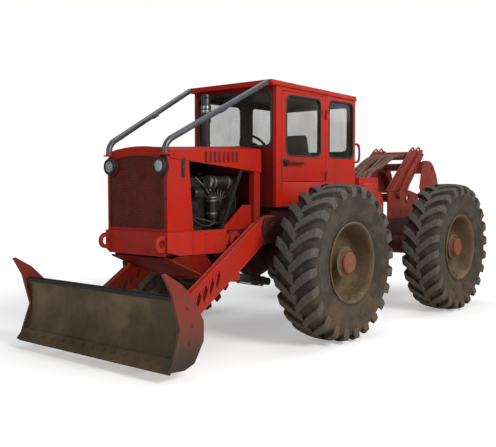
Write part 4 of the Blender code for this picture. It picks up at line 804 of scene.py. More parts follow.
def roundedLoop(us, vs, radius, inset=0.0, steps=6):
    # points round a rectangle with round corners
    u0, u1, v0, v1 = us[0] + inset, us[1] - inset, vs[0] + inset, vs[1] - inset
    r = max(radius - inset, 0.001)
    made = []
    corners = ((u1 - r, v0 + r, -90), (u1 - r, v1 - r, 0), (u0 + r, v1 - r, 90), (u0 + r, v0 + r, 180))
    for cu, cv, first in corners:
        for i in range(steps + 1):
            angle = math.radians(first + 90 * i / steps)
            made.append((cu + r * math.cos(angle), cv + r * math.sin(angle)))
    return made


def frameRing(heap, us, vs, radius, wide, flatAxis, low, high, lip=0.004):
    # a soft-edged frame round a window: wide reaches both ways from the outline
    layers = [(-wide, low), (-wide, high - lip), (-wide + lip, high)]
    layers += [(wide - lip, high), (wide, high - lip), (wide, low)]
    points = []
    for inset, level in layers:
        loop = roundedLoop(us, vs, radius + wide, inset)
        points += [{"x": (level, u, v), "y": (u, level, v)}[flatAxis] for u, v in loop]
    heap.add(points, wrapRows(len(layers), len(loop), True))


# grille and lamps
grilleWork = {
    "half": 0.386, "low": 1.225, "top": 1.862, "rise": 0.045, "pitch": 0.026, "slant": 34, "strip": 0.0075,
    "bolts": (1.30, 1.50, 1.66), "boltOut": 0.41, "bead": 0.0075,
    # the cap fills the crescent between two arcs, each (crown height, radius, drop)
    "capUnder": (1.955, 1.7084, 0.006), "capOver": (2.000, 2.077, 0.003), "capStep": 0.0262,
}
lampWork = {
    "shell": [  # (radius, distance back from the lamp's front)
        (0.082, 0.014), (0.079, 0.004), (0.070, 0.001), (0.058, 0.003), (0.0555, 0.012), (0.050, 0.020),
        (0.001, 0.026),
    ],
    "bowl": [
        (0.0545, 0.010), (0.050, 0.016), (0.038, 0.021), (0.020, 0.0245), (0.010, 0.025), (0.009, 0.016),
        (0.001, 0.014),
    ],
    "lens": [(0.0550, 0.009), (0.0545, 0.005), (0.042, 0.0), (0.026, -0.003), (0.001, -0.0045)],
    "collar": [(0.083, 0.0), (0.098, 0.0), (0.098, 0.006), (0.094, 0.014), (0.086, 0.018), (0.083, 0.014)],
    "flute": 0.010, "fluteReach": 0.048,
}


def grilleTop(y):
    return grilleWork["top"] + grilleWork["rise"] * (1 - (y / grilleWork["half"]) ** 2)


def arcHeight(y, arc):
    crown, radius, drop = arc
    return crown - radius + math.sqrt(radius ** 2 - y * y) - drop


def makeGrilleMesh(noseFace):
    mesh, half = Heap(), grilleWork["half"]
    box = [[0, 1, 2, 3], [4, 5, 6, 7], [0, 1, 5, 4], [1, 2, 6, 5], [2, 3, 7, 6], [3, 0, 4, 7]]
    for sign in (1, -1):
        slant = math.radians(grilleWork["slant"]) * sign
        along = Vector((0, math.cos(slant), math.sin(slant)))
        across = Vector((0, -math.sin(slant), math.cos(slant)))
        middle = Vector((0, 0, 1.55))
        x0, x1 = noseFace - 0.0078, noseFace - (0.0030 if sign > 0 else 0.0042)
        for k in range(-32, 33):
            start = middle + across * (k * grilleWork["pitch"])
            line = [start + along * (step * 0.006) for step in range(-140, 141)]
            inside = [p for p in line if abs(p.y) < half and grilleWork["low"] < p.z < grilleTop(p.y)]
            if len(inside) < 3:
                continue
            a, b, w = inside[0], inside[-1], across * grilleWork["strip"] / 2
            strip = []
            for p in (a, b):
                for x, edge in ((x0, p - w), (x0, p + w), (x1, p + w), (x1, p - w)):
                    strip.append((x, edge.y, edge.z))
            mesh.add(strip, box)
    mesh.make("grille_mesh", "front", "meshRed", "dark_red_paint", smooth=False)


def makeGrille():
    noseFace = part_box("nose_shell")[1].x
    makeGrilleMesh(noseFace)
    cap = Heap()
    across = [grilleWork["capStep"] * k for k in range(-16, 17)]
    under = [(y, arcHeight(y, grilleWork["capUnder"])) for y in across]
    over = [(y, arcHeight(y, grilleWork["capOver"])) for y in across]
    cap.plate(under + over[::-1], "x", noseFace - 0.030, noseFace - 0.010)
    cap.pipe([(noseFace - 0.024, y, z + 0.001) for y, z in over], grilleWork["bead"], 8)
    cap.make("nose_cap", "front", "redPaint", "red_paint")
    trim = Heap()
    edge, half = grilleWork["half"] + 0.004, grilleWork["half"]
    route = [(-edge, grilleWork["low"]), (-edge, 1.5)]
    route += [(y * edge / 12, grilleTop(y * half / 12) + 0.004) for y in range(-12, 13)]
    route += [(edge, 1.5), (edge, grilleWork["low"]), (-edge, grilleWork["low"])]
    trim.pipe([(noseFace, y, z) for y, z in route], grilleWork["bead"], 8)
    for y in (-grilleWork["boltOut"], grilleWork["boltOut"]):
        for z in grilleWork["bolts"]:
            trim.bolt((noseFace, y, z), (1, 0, 0), 0.008, 0.006)
    trim.make("grille_trim", "front", "redDark", "dark_red_paint")


def makeLamp(side):
    name = "left" if side > 0 else "right"
    low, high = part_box(f"headlight_{name}")
    centre = Vector((low.x, (low.y + high.y) / 2, (low.z + high.z) / 2))
    deep, ahead = high.x - low.x, (1, 0, 0)

    def fromFront(profile):
        return [(radius, deep - back) for radius, back in profile]
    shell = Heap()
    shell.lathe([(0.001, 0.0), (0.082, 0.0)] + fromFront(lampWork["shell"]), centre, ahead, 48)
    shell.bolt(centre + Vector((deep - 0.010, 0, 0.0805)), (0, 0, 1), 0.005, 0.0015)
    shell.make(f"lamp_shell_{name}", "front", "blackRubberAndShade", "lamp", [f"headlight_{name}"])
    collar = Heap()
    collar.lathe(lampWork["collar"], centre, ahead, 48, True)
    collar.boltRing(centre, "x", 0.012, 0.091, 3, 0.25, ahead, 0.005, 0.006)
    collar.make(f"lamp_collar_{name}", "front", "redDark", "dark_red_paint")
    bowl = Heap()
    bowl.lathe(fromFront(lampWork["bowl"]), centre, ahead, 40)
    bowl.make(f"lamp_bowl_{name}", "front", "chromeSmooth", "lamp")
    lens = Heap()
    lens.lathe(fromFront(lampWork["lens"]), centre, ahead, 40)
    for k in range(-4, 5):  # flutes down the lens
        y = k * lampWork["flute"]
        reach = math.sqrt(lampWork["fluteReach"] ** 2 - y * y)
        flute = [(deep - 0.0005 - abs(s) * 0.006, y, s * reach) for s in (-1, -0.5, 0, 0.5, 1)]
        lens.pipe([centre + Vector(p) for p in flute], 0.0018, 5)
    lens.make(f"lamp_lens_{name}", "front", "lampGlass", "lamp")


makeGrille()
makeLamp(1)
makeLamp(-1)


# hood
hoodWork = {
    "louvres": 8, "first": 1.200, "pitch": -0.066, "tall": 0.112, "long": 0.052, "stand": 0.011,
    "latch": 1.52, "latchLow": 1.70, "latchHigh": 1.885,
    "knob": [(0.001, 0.0), (0.020, 0.0), (0.020, 0.014), (0.012, 0.018), (0.001, 0.018)],
    "bolts": ((0.44, 1.86), (0.44, 1.95), (1.70, 1.60), (1.70, 1.30), (1.46, 1.30), (1.46, 1.60)),
}


def sideBlock(heap, side, xs, ys, zs, round=0.0):
    # a block on one side of the machine; ys are distances out from its middle
    y0, y1 = facing(side, *ys)
    heap.block(spot(xs[0], y0, zs[0]), spot(xs[1], y1, zs[1]), round)


def makeHood():
    louvres, shadows, seamsAndWellShade, latch = Heap(), Heap(), Heap(), Heap()
    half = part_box("hood")[1].y
    tall, long = hoodWork["tall"], hoodWork["long"]
    for side in (1, -1):
        out = (0, side, 0)
        for k in range(hoodWork["louvres"]):
            x = hoodWork["first"] + hoodWork["pitch"] * k
            z = 1.893 + (1.725 - x) * 0.027  # the row follows the hood's slope
            foot, lip = half - 0.001, half + hoodWork["stand"]
            louvres.add(spots(
                side, (x, foot, z + tall / 2), (x, foot, z - tall / 2),
                (x + long * 0.55, lip, z - tall / 2 + 0.006), (x + long * 0.55, lip, z + tall / 2 - 0.006),
                (x + long * 0.62, foot, z + tall / 2), (x + long * 0.62, foot, z - tall / 2),
            ), [[0, 1, 2, 3], [0, 3, 4], [1, 5, 2], [3, 2, 5, 4], [0, 4, 5, 1]])
            # a black strip behind each louvre paints the shade in its opening
            slot = (z - tall / 2 + 0.004, z + tall / 2 - 0.004)
            sideBlock(shadows, side, (x + long * 0.63, x + long), (half, half + 0.0015), slot)
        sideBlock(seamsAndWellShade, side, (1.660, 1.664), (half, half + 0.0012), (1.90, 1.955))
        # latch: a black plate paints the shade of its recessed well, with its lever
        x = hoodWork["latch"]
        well = roundedLoop((x, x + 0.055), (hoodWork["latchLow"], hoodWork["latchHigh"]), 0.012)
        seamsAndWellShade.plate(fromAxle(well), "y", *facing(side, half, half + 0.002))
        sideBlock(latch, side, (x + 0.018, x + 0.036), (half, half + 0.012), (1.72, 1.87), 0.004)
        latch.lathe(hoodWork["knob"], spot(x + 0.027, side * half, 1.79), out, 20)
        for x, z in hoodWork["bolts"]:
            louvres.bolt(spot(x, side * half, z), out, 0.007, 0.005)
    louvres.make("hood_louvres", "front", "redPaint", "red_paint")
    shadows.make("hood_slot_shadows", "front", "blackRubberAndShade", "black_parts", smooth=False)
    latch.make("hood_latches", "front", "redDark", "dark_red_paint")
    seamsAndWellShade.make("hood_latch_well_shade", "front", "blackRubberAndShade", "black_parts")


makeHood()
print("nose made")


# cab
cabWork = {
    "half": 0.60, "front": 0.335, "rear": -1.225, "low": 1.955, "high": 2.61, "corner": 0.06,
    "gasket": 0.010, "doorFront": 0.24, "doorRear": -0.59, "sideWindow": (-1.175, -0.66), "railOut": 0.613,
    "rail": 0.007, "hinge": (-0.5875, 0.612), "hingeHeights": (1.74, 2.44),
    "sleeve": (0.0104, 0.0112, 0.050, 0.054),  # small and large radius, length of each
}
doorWork = {
    "plate": ((0.145, 0.215), (1.83, 1.92)),
    "lever": ((0.18, 0.647, 1.876), (0.02, 0.649, 1.877), (-0.10, 0.643, 1.872), (-0.115, 0.633, 1.868)),
    "boss": [(0.024, 0.0), (0.024, 0.040), (0.018, 0.052), (0.001, 0.053)],
    "lock": [(0.008, 0.0), (0.008, 0.006), (0.001, 0.007)],
}
seatWork = {"steps": 14, "crown": 0.25, "groove": 0.33, "backLean": -80, "fill": 0.7}
controlWork = {
    "levers": ((-0.30, 0.02), (-0.37, -0.01), (-0.44, 0.0)), "pedals": (-0.20, 0.20, 0.30),
    "dials": (-0.18, -0.06, 0.06, 0.18),
    "knob": [(0.001, -0.002), (0.016, 0.004), (0.020, 0.018), (0.016, 0.032), (0.001, 0.038)],
    "dial": [(0.040, 0.0), (0.040, 0.008), (0.034, 0.010), (0.033, 0.006), (0.001, 0.006)],
    "wheelBoss": [(0.001, 0.0), (0.05, 0.0), (0.055, 0.012), (0.04, 0.022), (0.001, 0.026)],
    "grabHandle": ((0.002, 2.135), (0.15, 2.135), (0.19, 2.09), (0.19, 1.965), (0.15, 1.92), (0.002, 1.92)),
    "grabOut": 0.54,
}


def makeCabTrim():
    gaskets = {"front": Heap(), "door_left": Heap(), "door_right": Heap()}
    rails, fittings = Heap(), Heap()
    out, low, corner, wide = cabWork["half"], cabWork["low"], cabWork["corner"], cabWork["gasket"]
    roofLow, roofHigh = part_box("cab_roof")
    doorGlass = (cabWork["doorRear"] + 0.10, cabWork["doorFront"] - 0.085)
    for side, name in ((1, "left"), (-1, "right")):
        windows = ((cabWork["sideWindow"], "front", cabWork["high"], 0.04),
                   (doorGlass, f"door_{name}", cabWork["high"] - 0.01, 0.035))
        for (rear, front), body, high, thick in windows:
            us, vs, inner = (frontAxle + rear, frontAxle + front), (low, high), out - thick
            for foot, lip in ((out - 0.012, out + 0.006), (inner + 0.012, inner - 0.004)):
                frameRing(gaskets[body], us, vs, corner, wide, "y", side * foot, side * lip)
        # fixed panel below the door, drawn like the door's own lower part
        panel = roundedLoop((cabWork["doorRear"] + 0.005, cabWork["doorFront"] - 0.005), (1.435, 1.664), 0.02)
        rails.plate(fromAxle(panel), "y", *facing(side, out - 0.001, out + 0.003), 0.0012)
        # drip rail under the roof's edge
        y = side * cabWork["railOut"]
        middle = (roofLow.x + roofHigh.x) / 2
        rails.pipe([(roofLow.x, y, 2.658), (middle, y, 2.675), (roofHigh.x, y, 2.693)], cabWork["rail"], 8)
        for x in (-1.19, -1.0, -0.63, 0.29):
            for z in (1.47, 1.60):
                fittings.bolt(spot(x, side * out, z), (0, side, 0), 0.007, 0.005)
        # lower half of each hinge's sleeve
        inside, outside, end, tip = cabWork["sleeve"]
        for z in cabWork["hingeHeights"]:
            place = spot(cabWork["hinge"][0], side * cabWork["hinge"][1], z)
            fittings.lathe([(inside, -tip), (outside, -end), (outside, -0.001)], place, (0, 0, 1), 16)
    frontRail = roofHigh.x + 0.001
    rails.pipe([(frontRail, -out, 2.693), (frontRail, out, 2.693)], cabWork["rail"], 8)
    face, back = frontAxle + cabWork["front"], frontAxle + cabWork["rear"]
    frameRing(gaskets["front"], (-0.535, 0.535), (2.05, 2.63), corner, 0.012, "x", face - 0.012, face + 0.008)
    frameRing(gaskets["front"], (-0.50, 0.50), (2.035, 2.59), corner, 0.012, "x", back + 0.012, back - 0.008)
    for body, heap in gaskets.items():
        heap.make("gasket_" + body, body, "blackRubberAndShade", "black_parts")
    rails.make("cab_rails", "front", "redPaint", "red_paint")
    fittings.make("cab_fittings", "front", "redPaint", "red_paint")


def makeDoorFittings(side):
    name = "left" if side > 0 else "right"
    half, out = cabWork["half"], (0, side, 0)
    fittings = Heap()
    plate = fromAxle(roundedLoop(*doorWork["plate"], 0.015))
    fittings.plate(plate, "y", *facing(side, half - 0.001, half + 0.004), 0.001)
    fittings.pipe(spots(side, *doorWork["lever"]), 0.0115, 10, 4)
    fittings.lathe(doorWork["boss"], spot(0.18, side * half, 1.875), out, 20)
    fittings.lathe(doorWork["lock"], spot(0.165, side * 0.603, 1.845), out, 14)
    fittings.make(f"door_handle_{name}", f"door_{name}", "blackRubberAndShade", "black_parts")
    straps = Heap()
    inside, outside, end, tip = cabWork["sleeve"]
    for z in cabWork["hingeHeights"]:  # upper half of each hinge's sleeve
        place = spot(cabWork["hinge"][0], side * cabWork["hinge"][1], z)
        straps.lathe([(outside, 0.001), (outside, end), (inside, tip)], place, (0, 0, 1), 16)
        for x in (-0.56, -0.53):
            straps.bolt(spot(x, side * 0.608, z + 0.025), out, 0.006, 0.004)
    for x in (-0.54, 0.20):
        for z in (1.95, 2.60):
            straps.bolt(spot(x, side * half, z), out, 0.005, 0.003)
    straps.make(f"door_hinges_{name}", f"door_{name}", "blackRubberAndShade", "black_parts")


def cushionHeight(u, v, sign):
    # u and v run from -1 to 1 over the cushion; the upper skin is crowned with two piped seams
    crown = seatWork["crown"]
    bulge = ((1 - u ** 6) * (1 - v ** 6)) ** 0.5 if abs(u) < 1 and abs(v) < 1 else 0
    groove = 0.10 * math.exp(-(((abs(v) - seatWork["groove"]) / 0.05) ** 2)) if sign > 0 else 0
    swell = 0.5 * bulge * (1 + crown * (1 - u * u) * (1 - v * v))
    return sign * (swell - groove * bulge) / (1 + crown)


def makeCushion(name, low, high, turnDeg):
    steps = seatWork["steps"]
    middle = (Vector(low) + Vector(high)) / 2
    size = Vector(high) - Vector(low)
    spin = Matrix.Rotation(math.radians(turnDeg), 3, "Y")
    points, faces, row = [], [], steps + 1
    for layer, sign in ((0, 1), (1, -1)):
        for i in range(row):
            for j in range(row):
                u, v = i / steps * 2 - 1, j / steps * 2 - 1
                pull = 1 - 0.05 * (abs(u) ** 4 * abs(v) ** 4)
                shape = Vector((u * 0.5 * pull, v * 0.5 * pull, cushionHeight(u, v, sign)))
                points.append(middle + spin @ (shape * size))
        for i in range(steps):
            for j in range(steps):
                corner = layer * row * row + i * row + j
                faces.append([corner, corner + row, corner + row + 1, corner + 1])
    piece = pieceFrom(name, points, faces, "front", "seatVinyl")
    form = bmesh.new()
    form.from_mesh(piece.data)
    bmesh.ops.remove_doubles(form, verts=form.verts, dist=0.0008)
    bmesh.ops.recalc_face_normals(form, faces=form.faces)
    form.to_mesh(piece.data)
    form.free()
    subdivide = piece.modifiers.new("smoothSkin", "SUBSURF")
    subdivide.levels = subdivide.render_levels = 1
    return piece


def makeCabInside():
    low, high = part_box("operator_seat")
    seatLow, seatHigh = (low.x + 0.06, low.y, low.z + 0.003), (high.x, high.y, low.z + 0.115)
    seat = makeCushion("seat_cushion", seatLow, seatHigh, 0)
    backLow = (low.x - 0.16, low.y + 0.01, low.z + 0.235)
    backHigh = (low.x + 0.29, high.y - 0.01, low.z + 0.335)
    back = makeCushion("seat_back", backLow, backHigh, seatWork["backLean"])
    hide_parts("operator_seat")
    controls, dials = Heap(), Heap()
    for y, lean in controlWork["levers"]:
        top = spot(-0.02 + lean, y, 1.92)
        controls.pipe([spot(0.05, y, 1.44), spot(0.03 + lean, y, 1.70), top], 0.007, 8, 4)
        controls.lathe(controlWork["knob"], top, (-0.2, 0, 1), 16)
    pedalTurn = Matrix.Rotation(math.radians(-35), 3, "Y")
    for y in controlWork["pedals"]:
        controls.block(spot(-0.02, y - 0.04, 1.475), spot(0.06, y + 0.04, 1.490), 0.004, pedalTurn)
    for y in controlWork["dials"]:
        dials.lathe(controlWork["dial"], spot(0.119, y, 1.90), (-1, 0, 0), 24)
    controls.lathe(controlWork["wheelBoss"], spot(-0.032, 0, 2.07), (-0.75, 0, 0.66), 24)
    controls.make("cab_controls", "front", "blackRubberAndShade", "black_parts")
    dials.make("cab_dials", "front", "brightSteel", "black_parts")
    grip = Heap()
    rear, out = cabWork["rear"], controlWork["grabOut"]
    grip.pipe([spot(rear - behind, out, z) for behind, z in controlWork["grabHandle"]], 0.0135, 10, 5)
    for z in (2.135, 1.92):
        grip.lathe([(0.026, 0.0), (0.026, 0.006), (0.018, 0.010)], spot(rear, out, z), (-1, 0, 0), 20)
    grip.make("grab_grip", "front", "blackRubberAndShade", "black_parts")


makeCabTrim()
makeDoorFittings(1)
makeDoorFittings(-1)
makeCabInside()
print("cab made")


# engine, radiator and exhaust
engineWork = {
    "covers": (0.70, 0.98), "coverRibs": 5, "runners": 6, "runnerPitch": 0.11, "injectors": 6,
    "cap": [(0.001, 0.0), (0.05, 0.0), (0.055, 0.010), (0.055, 0.10), (0.048, 0.115), (0.001, 0.118)],
    "canister": (1.02, 0.31, 1.30), "cleaner": (0.78, 0.32, 1.66),
    "canisterTop": [(0.056, 0.198), (0.060, 0.200), (0.060, 0.214), (0.040, 0.226), (0.001, 0.228)],
    "cleanerEnd": [
        (0.066, 0.30), (0.069, 0.302), (0.069, 0.318), (0.055, 0.328), (0.020, 0.330), (0.001, 0.330),
    ],
    "pulleys": (  # place, inner and outer radius, groove, steps round
        ((1.40, 0, 1.50), 0.045, 0.075, 0.068, 32), ((1.40, 0.17, 1.60), 0.030, 0.052, 0.046, 28),
        ((1.40, 0, 1.25), 0.030, 0.085, 0.079, 32),
    ),
    "belt": (
        (-0.072, 1.50), (-0.08, 1.25), (-0.05, 1.18), (0.06, 1.18), (0.085, 1.25), (0.21, 1.58),
        (0.19, 1.645), (0.14, 1.64), (-0.03, 1.57), (-0.072, 1.50),
    ),
    "intake": ((0.78, 0.32, 1.66), (0.72, 0.315, 1.66), (0.64, 0.24, 1.70), (0.66, 0.10, 1.715)),
    "coolant": (
        ((1.34, 0.10, 1.70), (1.44, 0.13, 1.72), (1.55, 0.18, 1.76), (1.605, 0.18, 1.77)),
        ((1.38, -0.12, 1.26), (1.47, -0.16, 1.25), (1.55, -0.20, 1.24), (1.605, -0.20, 1.24)),
    ),
    "lines": (
        ((1.02, 0.31, 1.31), (1.03, 0.345, 1.25), (1.16, 0.33, 1.22), (1.30, 0.30, 1.30),
         (1.36, 0.245, 1.36)),
        ((0.99, 0.34, 1.48), (0.90, 0.35, 1.50), (0.80, 0.31, 1.52), (0.70, 0.26, 1.45)),
        ((1.20, 0.25, 1.30), (1.10, 0.33, 1.27), (0.95, 0.34, 1.24), (0.80, 0.30, 1.25), (0.66, 0.26, 1.20)),
        ((0.62, 0.20, 1.58), (0.57, 0.22, 1.50), (0.55, 0.20, 1.35), (0.56, 0.10, 1.25)),
        ((0.62, 0.05, 1.50), (0.55, 0.10, 1.42), (0.54, 0.05, 1.30), (0.56, -0.05, 1.22)),
    ),
}
radiatorWork = {"half": 0.30, "fins": 34, "finPitch": 0.0165, "tubes": 13, "tubePitch": 0.0483, "blades": 6}
stackWork = {
    "middle": (0.46, -0.30, 0),
    "sleeve": [  # (radius, drop from the stack's top)
        (0.0505, 0.30), (0.0535, 0.297), (0.0535, 0.02), (0.0520, 0.004), (0.0475, 0.0005), (0.0445, 0.004),
        (0.0445, 0.10), (0.0465, 0.10), (0.0465, 0.20), (0.0502, 0.25),
    ],
    "clamps": (0.29, 0.03), "bands": (0.185, 0.140),
    "foot": [(0.045, 2.012), (0.085, 2.012), (0.085, 2.020), (0.052, 2.032), (0.045, 2.050)],
}


def collarShape(inner, outer, start, long, edge=0.003):
    # a raised band round a tube, from start to start + long
    return [(inner, start), (outer, start + edge), (outer, start + long - edge), (inner, start + long)]


def makeFan(iron):
    centre = spot(1.50, 0, 1.50)
    shroud = [(0.265, 0.0), (0.272, 0.0), (0.272, 0.055), (0.262, 0.085), (0.262, 0.050)]
    iron.lathe(shroud, centre, (1, 0, 0), 48, True)
    hub = [(0.001, -0.01), (0.06, -0.01), (0.065, 0.0), (0.065, 0.03), (0.001, 0.04)]
    iron.lathe(hub, centre, (1, 0, 0), 28)
    pitch = Matrix.Rotation(math.radians(62), 3, "Z")
    skin = [[0, 1, 3, 2], [2, 3, 5, 4], [6, 7, 9, 8], [8, 9, 11, 10], [0, 2, 8, 6], [2, 4, 10, 8]]
    skin += [[1, 3, 9, 7], [3, 5, 11, 9], [4, 5, 11, 10], [0, 1, 7, 6]]
    for k in range(radiatorWork["blades"]):
        spin = Matrix.Rotation(math.tau * k / radiatorWork["blades"], 3, "X")
        corners = []
        for u in (0, 1, 2):
            for v in (-0.5, 0.5):
                chord = pitch @ Vector((0, v * (0.07 + 0.05 * u), 0))
                corners.append(spin @ (Vector((0, 0, 0.05 + 0.10 * u)) + chord))
        thick = spin @ Vector((0.002, 0.001, 0))
        iron.add([centre + Vector((0.02, 0, 0)) + c + t for t in (thick, -thick) for c in corners], skin)


def makeRadiator(iron, core):
    half = radiatorWork["half"]
    for k in range(radiatorWork["fins"]):
        z = 1.235 + k * radiatorWork["finPitch"]
        core.block(spot(1.592, -half, z), spot(1.601, half, z + 0.005))
    for k in range(radiatorWork["tubes"]):
        y = -0.29 + k * radiatorWork["tubePitch"]
        core.block(spot(1.5955, y - 0.003, 1.23), spot(1.6005, y + 0.003, 1.80))
    for low, high in ((1.795, 1.848), (1.175, 1.232)):  # the two tanks
        iron.block(spot(1.585, -0.322, low), spot(1.695, 0.322, high), 0.010)


def makeBayShadeSheet():
    # painted shade: a near-black sheet that closes the bay on the far side and under the hood, standing for
    # the bay's shade
    shadeSheet = Heap()
    sheet = ((0.49, 1.50), (1.56, 1.50), (1.56, 1.86), (0.49, 1.86))
    shadeSheet.plate(fromAxle(sheet), "y", -0.392, -0.388, 0.001)
    for k in range(5):
        shadeSheet.block(spot(0.56 + 0.22 * k, -0.388, 1.52), spot(0.58 + 0.22 * k, -0.380, 1.84), 0.003)
    shadeSheet.block(spot(0.49, -0.386, 1.865), spot(1.56, 0.380, 1.870))
    shadeSheet.make("bay_shade_sheet", "front", "darkIronAndShade", "black_parts")


def makeEngine():
    iron, bright, hoses, core = Heap(), Heap(), Heap(), Heap()
    for x in engineWork["covers"]:  # ribbed valve covers
        iron.block(spot(x - 0.02, -0.10, 1.695), spot(x + 0.24, 0.10, 1.732), 0.012)
        for k in range(engineWork["coverRibs"]):
            rib = x + 0.045 * k
            iron.block(spot(rib + 0.01, -0.085, 1.725), spot(rib + 0.022, 0.085, 1.738), 0.003)
    for side in (1, -1):
        for k in range(7):
            for z in (1.66, 1.17):
                iron.bolt(spot(0.66 + 0.115 * k, side * 0.24, z), (0, side, 0), 0.012, 0.012)
        sump = roundedLoop((0.66, 1.34), (1.22, 1.34), 0.03)
        iron.plate(fromAxle(sump), "y", *facing(side, 0.239, 0.252), 0.004)
    for k in range(engineWork["runners"]):  # exhaust runners on the right
        x = 0.70 + engineWork["runnerPitch"] * k
        iron.pipe(spots(-1, (x, 0.235, 1.60), (x, 0.275, 1.59), (x - 0.02, 0.295, 1.55)), 0.022, 10, 3)
    iron.pipe([spot(1.30, -0.300, 1.54), spot(0.66, -0.300, 1.54)], 0.028, 14)
    for k in range(engineWork["injectors"]):  # injector lines on the left
        x = 0.70 + 0.10 * k
        top, bend = ((x, 0.12, 1.72), (x, 0.25, 1.71)), (x * 0.6 + 0.36, 0.275, 1.60)
        bright.pipe(spots(1, *top, bend, (0.84 + 0.02 * k, 0.27, 1.47)), 0.0045, 6, 4)
    iron.block(spot(0.80, 0.238, 1.38), spot(0.98, 0.300, 1.47), 0.010)
    alternator = spot(1.16, 0.285, 1.55)
    iron.lathe(engineWork["cap"], alternator, (1, 0, 0), 28)
    for along in (0.02, 0.05, 0.08):
        ring = [(0.056, along), (0.060, along + 0.004), (0.056, along + 0.008)]
        iron.lathe(ring, alternator, (1, 0, 0), 28)
    # filter canister bands and the air cleaner's bright end
    canister, cleaner = spot(*engineWork["canister"]), spot(*engineWork["cleaner"])
    for lift in (0.035, 0.165):
        bright.lathe(collarShape(0.0555, 0.0590, lift, 0.020), canister, (0, 0, 1), 32)
    bright.lathe(engineWork["canisterTop"], canister, (0, 0, 1), 32)
    bright.lathe(engineWork["cleanerEnd"], cleaner, (1, 0, 0), 32)
    for along in (0.04, 0.24):
        bright.lathe(collarShape(0.0655, 0.0690, along, 0.022), cleaner, (1, 0, 0), 32)
    hoses.pipe(spots(1, *engineWork["intake"]), 0.034, 14, 5)
    for route in engineWork["coolant"]:
        hoses.pipe(spots(1, *route), 0.028, 14, 5)
    for route in engineWork["lines"]:
        hoses.pipe(spots(1, *route), 0.011, 8, 5)
    makeRadiator(iron, core)
    makeFan(iron)
    for place, inner, outer, groove, steps in engineWork["pulleys"]:
        pulley = [(inner, 0.0), (outer, 0.002), (groove, 0.010), (outer, 0.018), (inner, 0.020)]
        iron.lathe(pulley, spot(*place), (1, 0, 0), steps, True)
    hoses.pipe([spot(1.41, y, z) for y, z in engineWork["belt"]], 0.0065, 6, 4)
    makeBayShadeSheet()
    iron.make("engine_castings", "front", "darkIronAndShade", "black_parts")
    bright.make("engine_bright", "front", "brightSteel", "black_parts")
    hoses.make("engine_hoses", "front", "blackRubberAndShade", "black_parts")
    core.make("radiator_core", "front", "darkIronAndShade", "black_parts", smooth=False)


def makeStack():
    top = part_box("exhaust_stack")[1].z
    middle, up = spot(*stackWork["middle"]), (0, 0, 1)
    sleeve, band, collar = Heap(), Heap(), Heap()
    sleeve.lathe([(radius, top - drop) for radius, drop in stackWork["sleeve"]], middle, up, 40, True)
    for drop in stackWork["clamps"]:
        sleeve.lathe(collarShape(0.053, 0.0565, top - drop - 0.009, 0.018), middle, up, 40)
    sleeve.make("stack_sleeve", "front", "stackDark", "stack_steel")
    for drop in stackWork["bands"]:
        band.lathe(collarShape(0.053, 0.0575, top - drop - 0.017, 0.034), middle, up, 40)
    band.make("stack_band", "front", "brightSteel", "stack_steel")
    collar.lathe(stackWork["foot"], middle, up, 40)
    for z in (2.10, 2.30):
        collar.lathe(collarShape(0.0445, 0.049, z, 0.022, 0.002), middle, up, 32)
    collar.make("stack_collar", "front", "steelDark", "stack_steel")


makeEngine()
makeStack()
print("engine made")


# guard bars over the hood
barWork = {
    "low": (1.665, 0.415, 2.065), "high": (0.452, 0.565, 2.705), "foot": (1.755, 0.405, 1.9155),
    "flange": [(0.031, 0.0), (0.058, 0.0), (0.058, 0.008), (0.036, 0.012), (0.0315, 0.026)],
}


def makeBarFittings(side):
    name = "left" if side > 0 else "right"
    sleeves, feet = Heap(), Heap()
    low, high, foot = spots(side, barWork["low"], barWork["high"], barWork["foot"])
    joint = collarShape(0.0302, 0.0318, -0.040, 0.080, 0.002)
    sleeves.lathe(joint, low.lerp(high, 0.5), high - low, 28)
    sleeves.make(f"bar_sleeves_{name}", "front", "barPaint", "bar_steel")
    feet.lathe(barWork["flange"], foot, (0, 0, 1), 28)
    feet.boltRing(foot, "z", 0.0085, 0.046, 4, 0.5, (0, 0, 1), 0.006, 0.006)
    sideBlock(feet, side, (0.424, 0.432), (0.530, 0.600), (2.694, 2.736), 0.002)
    feet.make(f"bar_feet_{name}", "front", "redPaint", "red_paint")


makeBarFittings(1)
makeBarFittings(-1)


# blade, arms and bumper
bladeWork = {
    "bolts": 14, "boltStart": -0.97, "boltPitch": 0.1493,
    "boltPlace": (2.3585, 0.165), "boltLean": (0.85, 0, 0.52),
    "boltHead": [(0.014, -0.001), (0.014, 0.0035), (0.010, 0.005), (0.001, 0.0052)],
    "ribs": (-0.86, -0.30, 0.0, 0.30, 0.86), "ribThick": 0.020,
    "rib": [
        (2.245, 0.64), (2.205, 0.50), (2.203, 0.40), (2.225, 0.26), (2.275, 0.16), (2.215, 0.16),
        (2.165, 0.26), (2.145, 0.42), (2.165, 0.60), (2.19, 0.65),
    ],
    "stiffeners": ((-1.05, -0.635), (0.635, 1.05), (-0.535, 0.535)),
    "endEdge": [
        (2.432, 0.898), (2.405, 0.902), (2.222, 0.797), (2.092, 0.677), (1.968, 0.468), (1.968, 0.300),
    ],
    "endBolts": ((2.14, 0.30), (2.10, 0.45), (2.16, 0.60)),
}
armWork = {
    "pivot": (0.441, 1.182), "slope": 0.638, "foot": 1.098, "deep": 0.278, "from": 0.66, "to": 1.93,
    "rungs": 5, "rungStart": (1.22, 0.775), "rungPitch": 0.092,
    "cap": [(0.001, 0.0), (0.062, 0.0), (0.062, 0.010), (0.056, 0.016), (0.020, 0.018), (0.001, 0.018)],
    "frameBolts": ((0.26, 1.25), (0.05, 1.25), (-0.15, 1.25), (-0.30, 1.22), (-0.30, 1.06), (0.05, 1.06)),
}
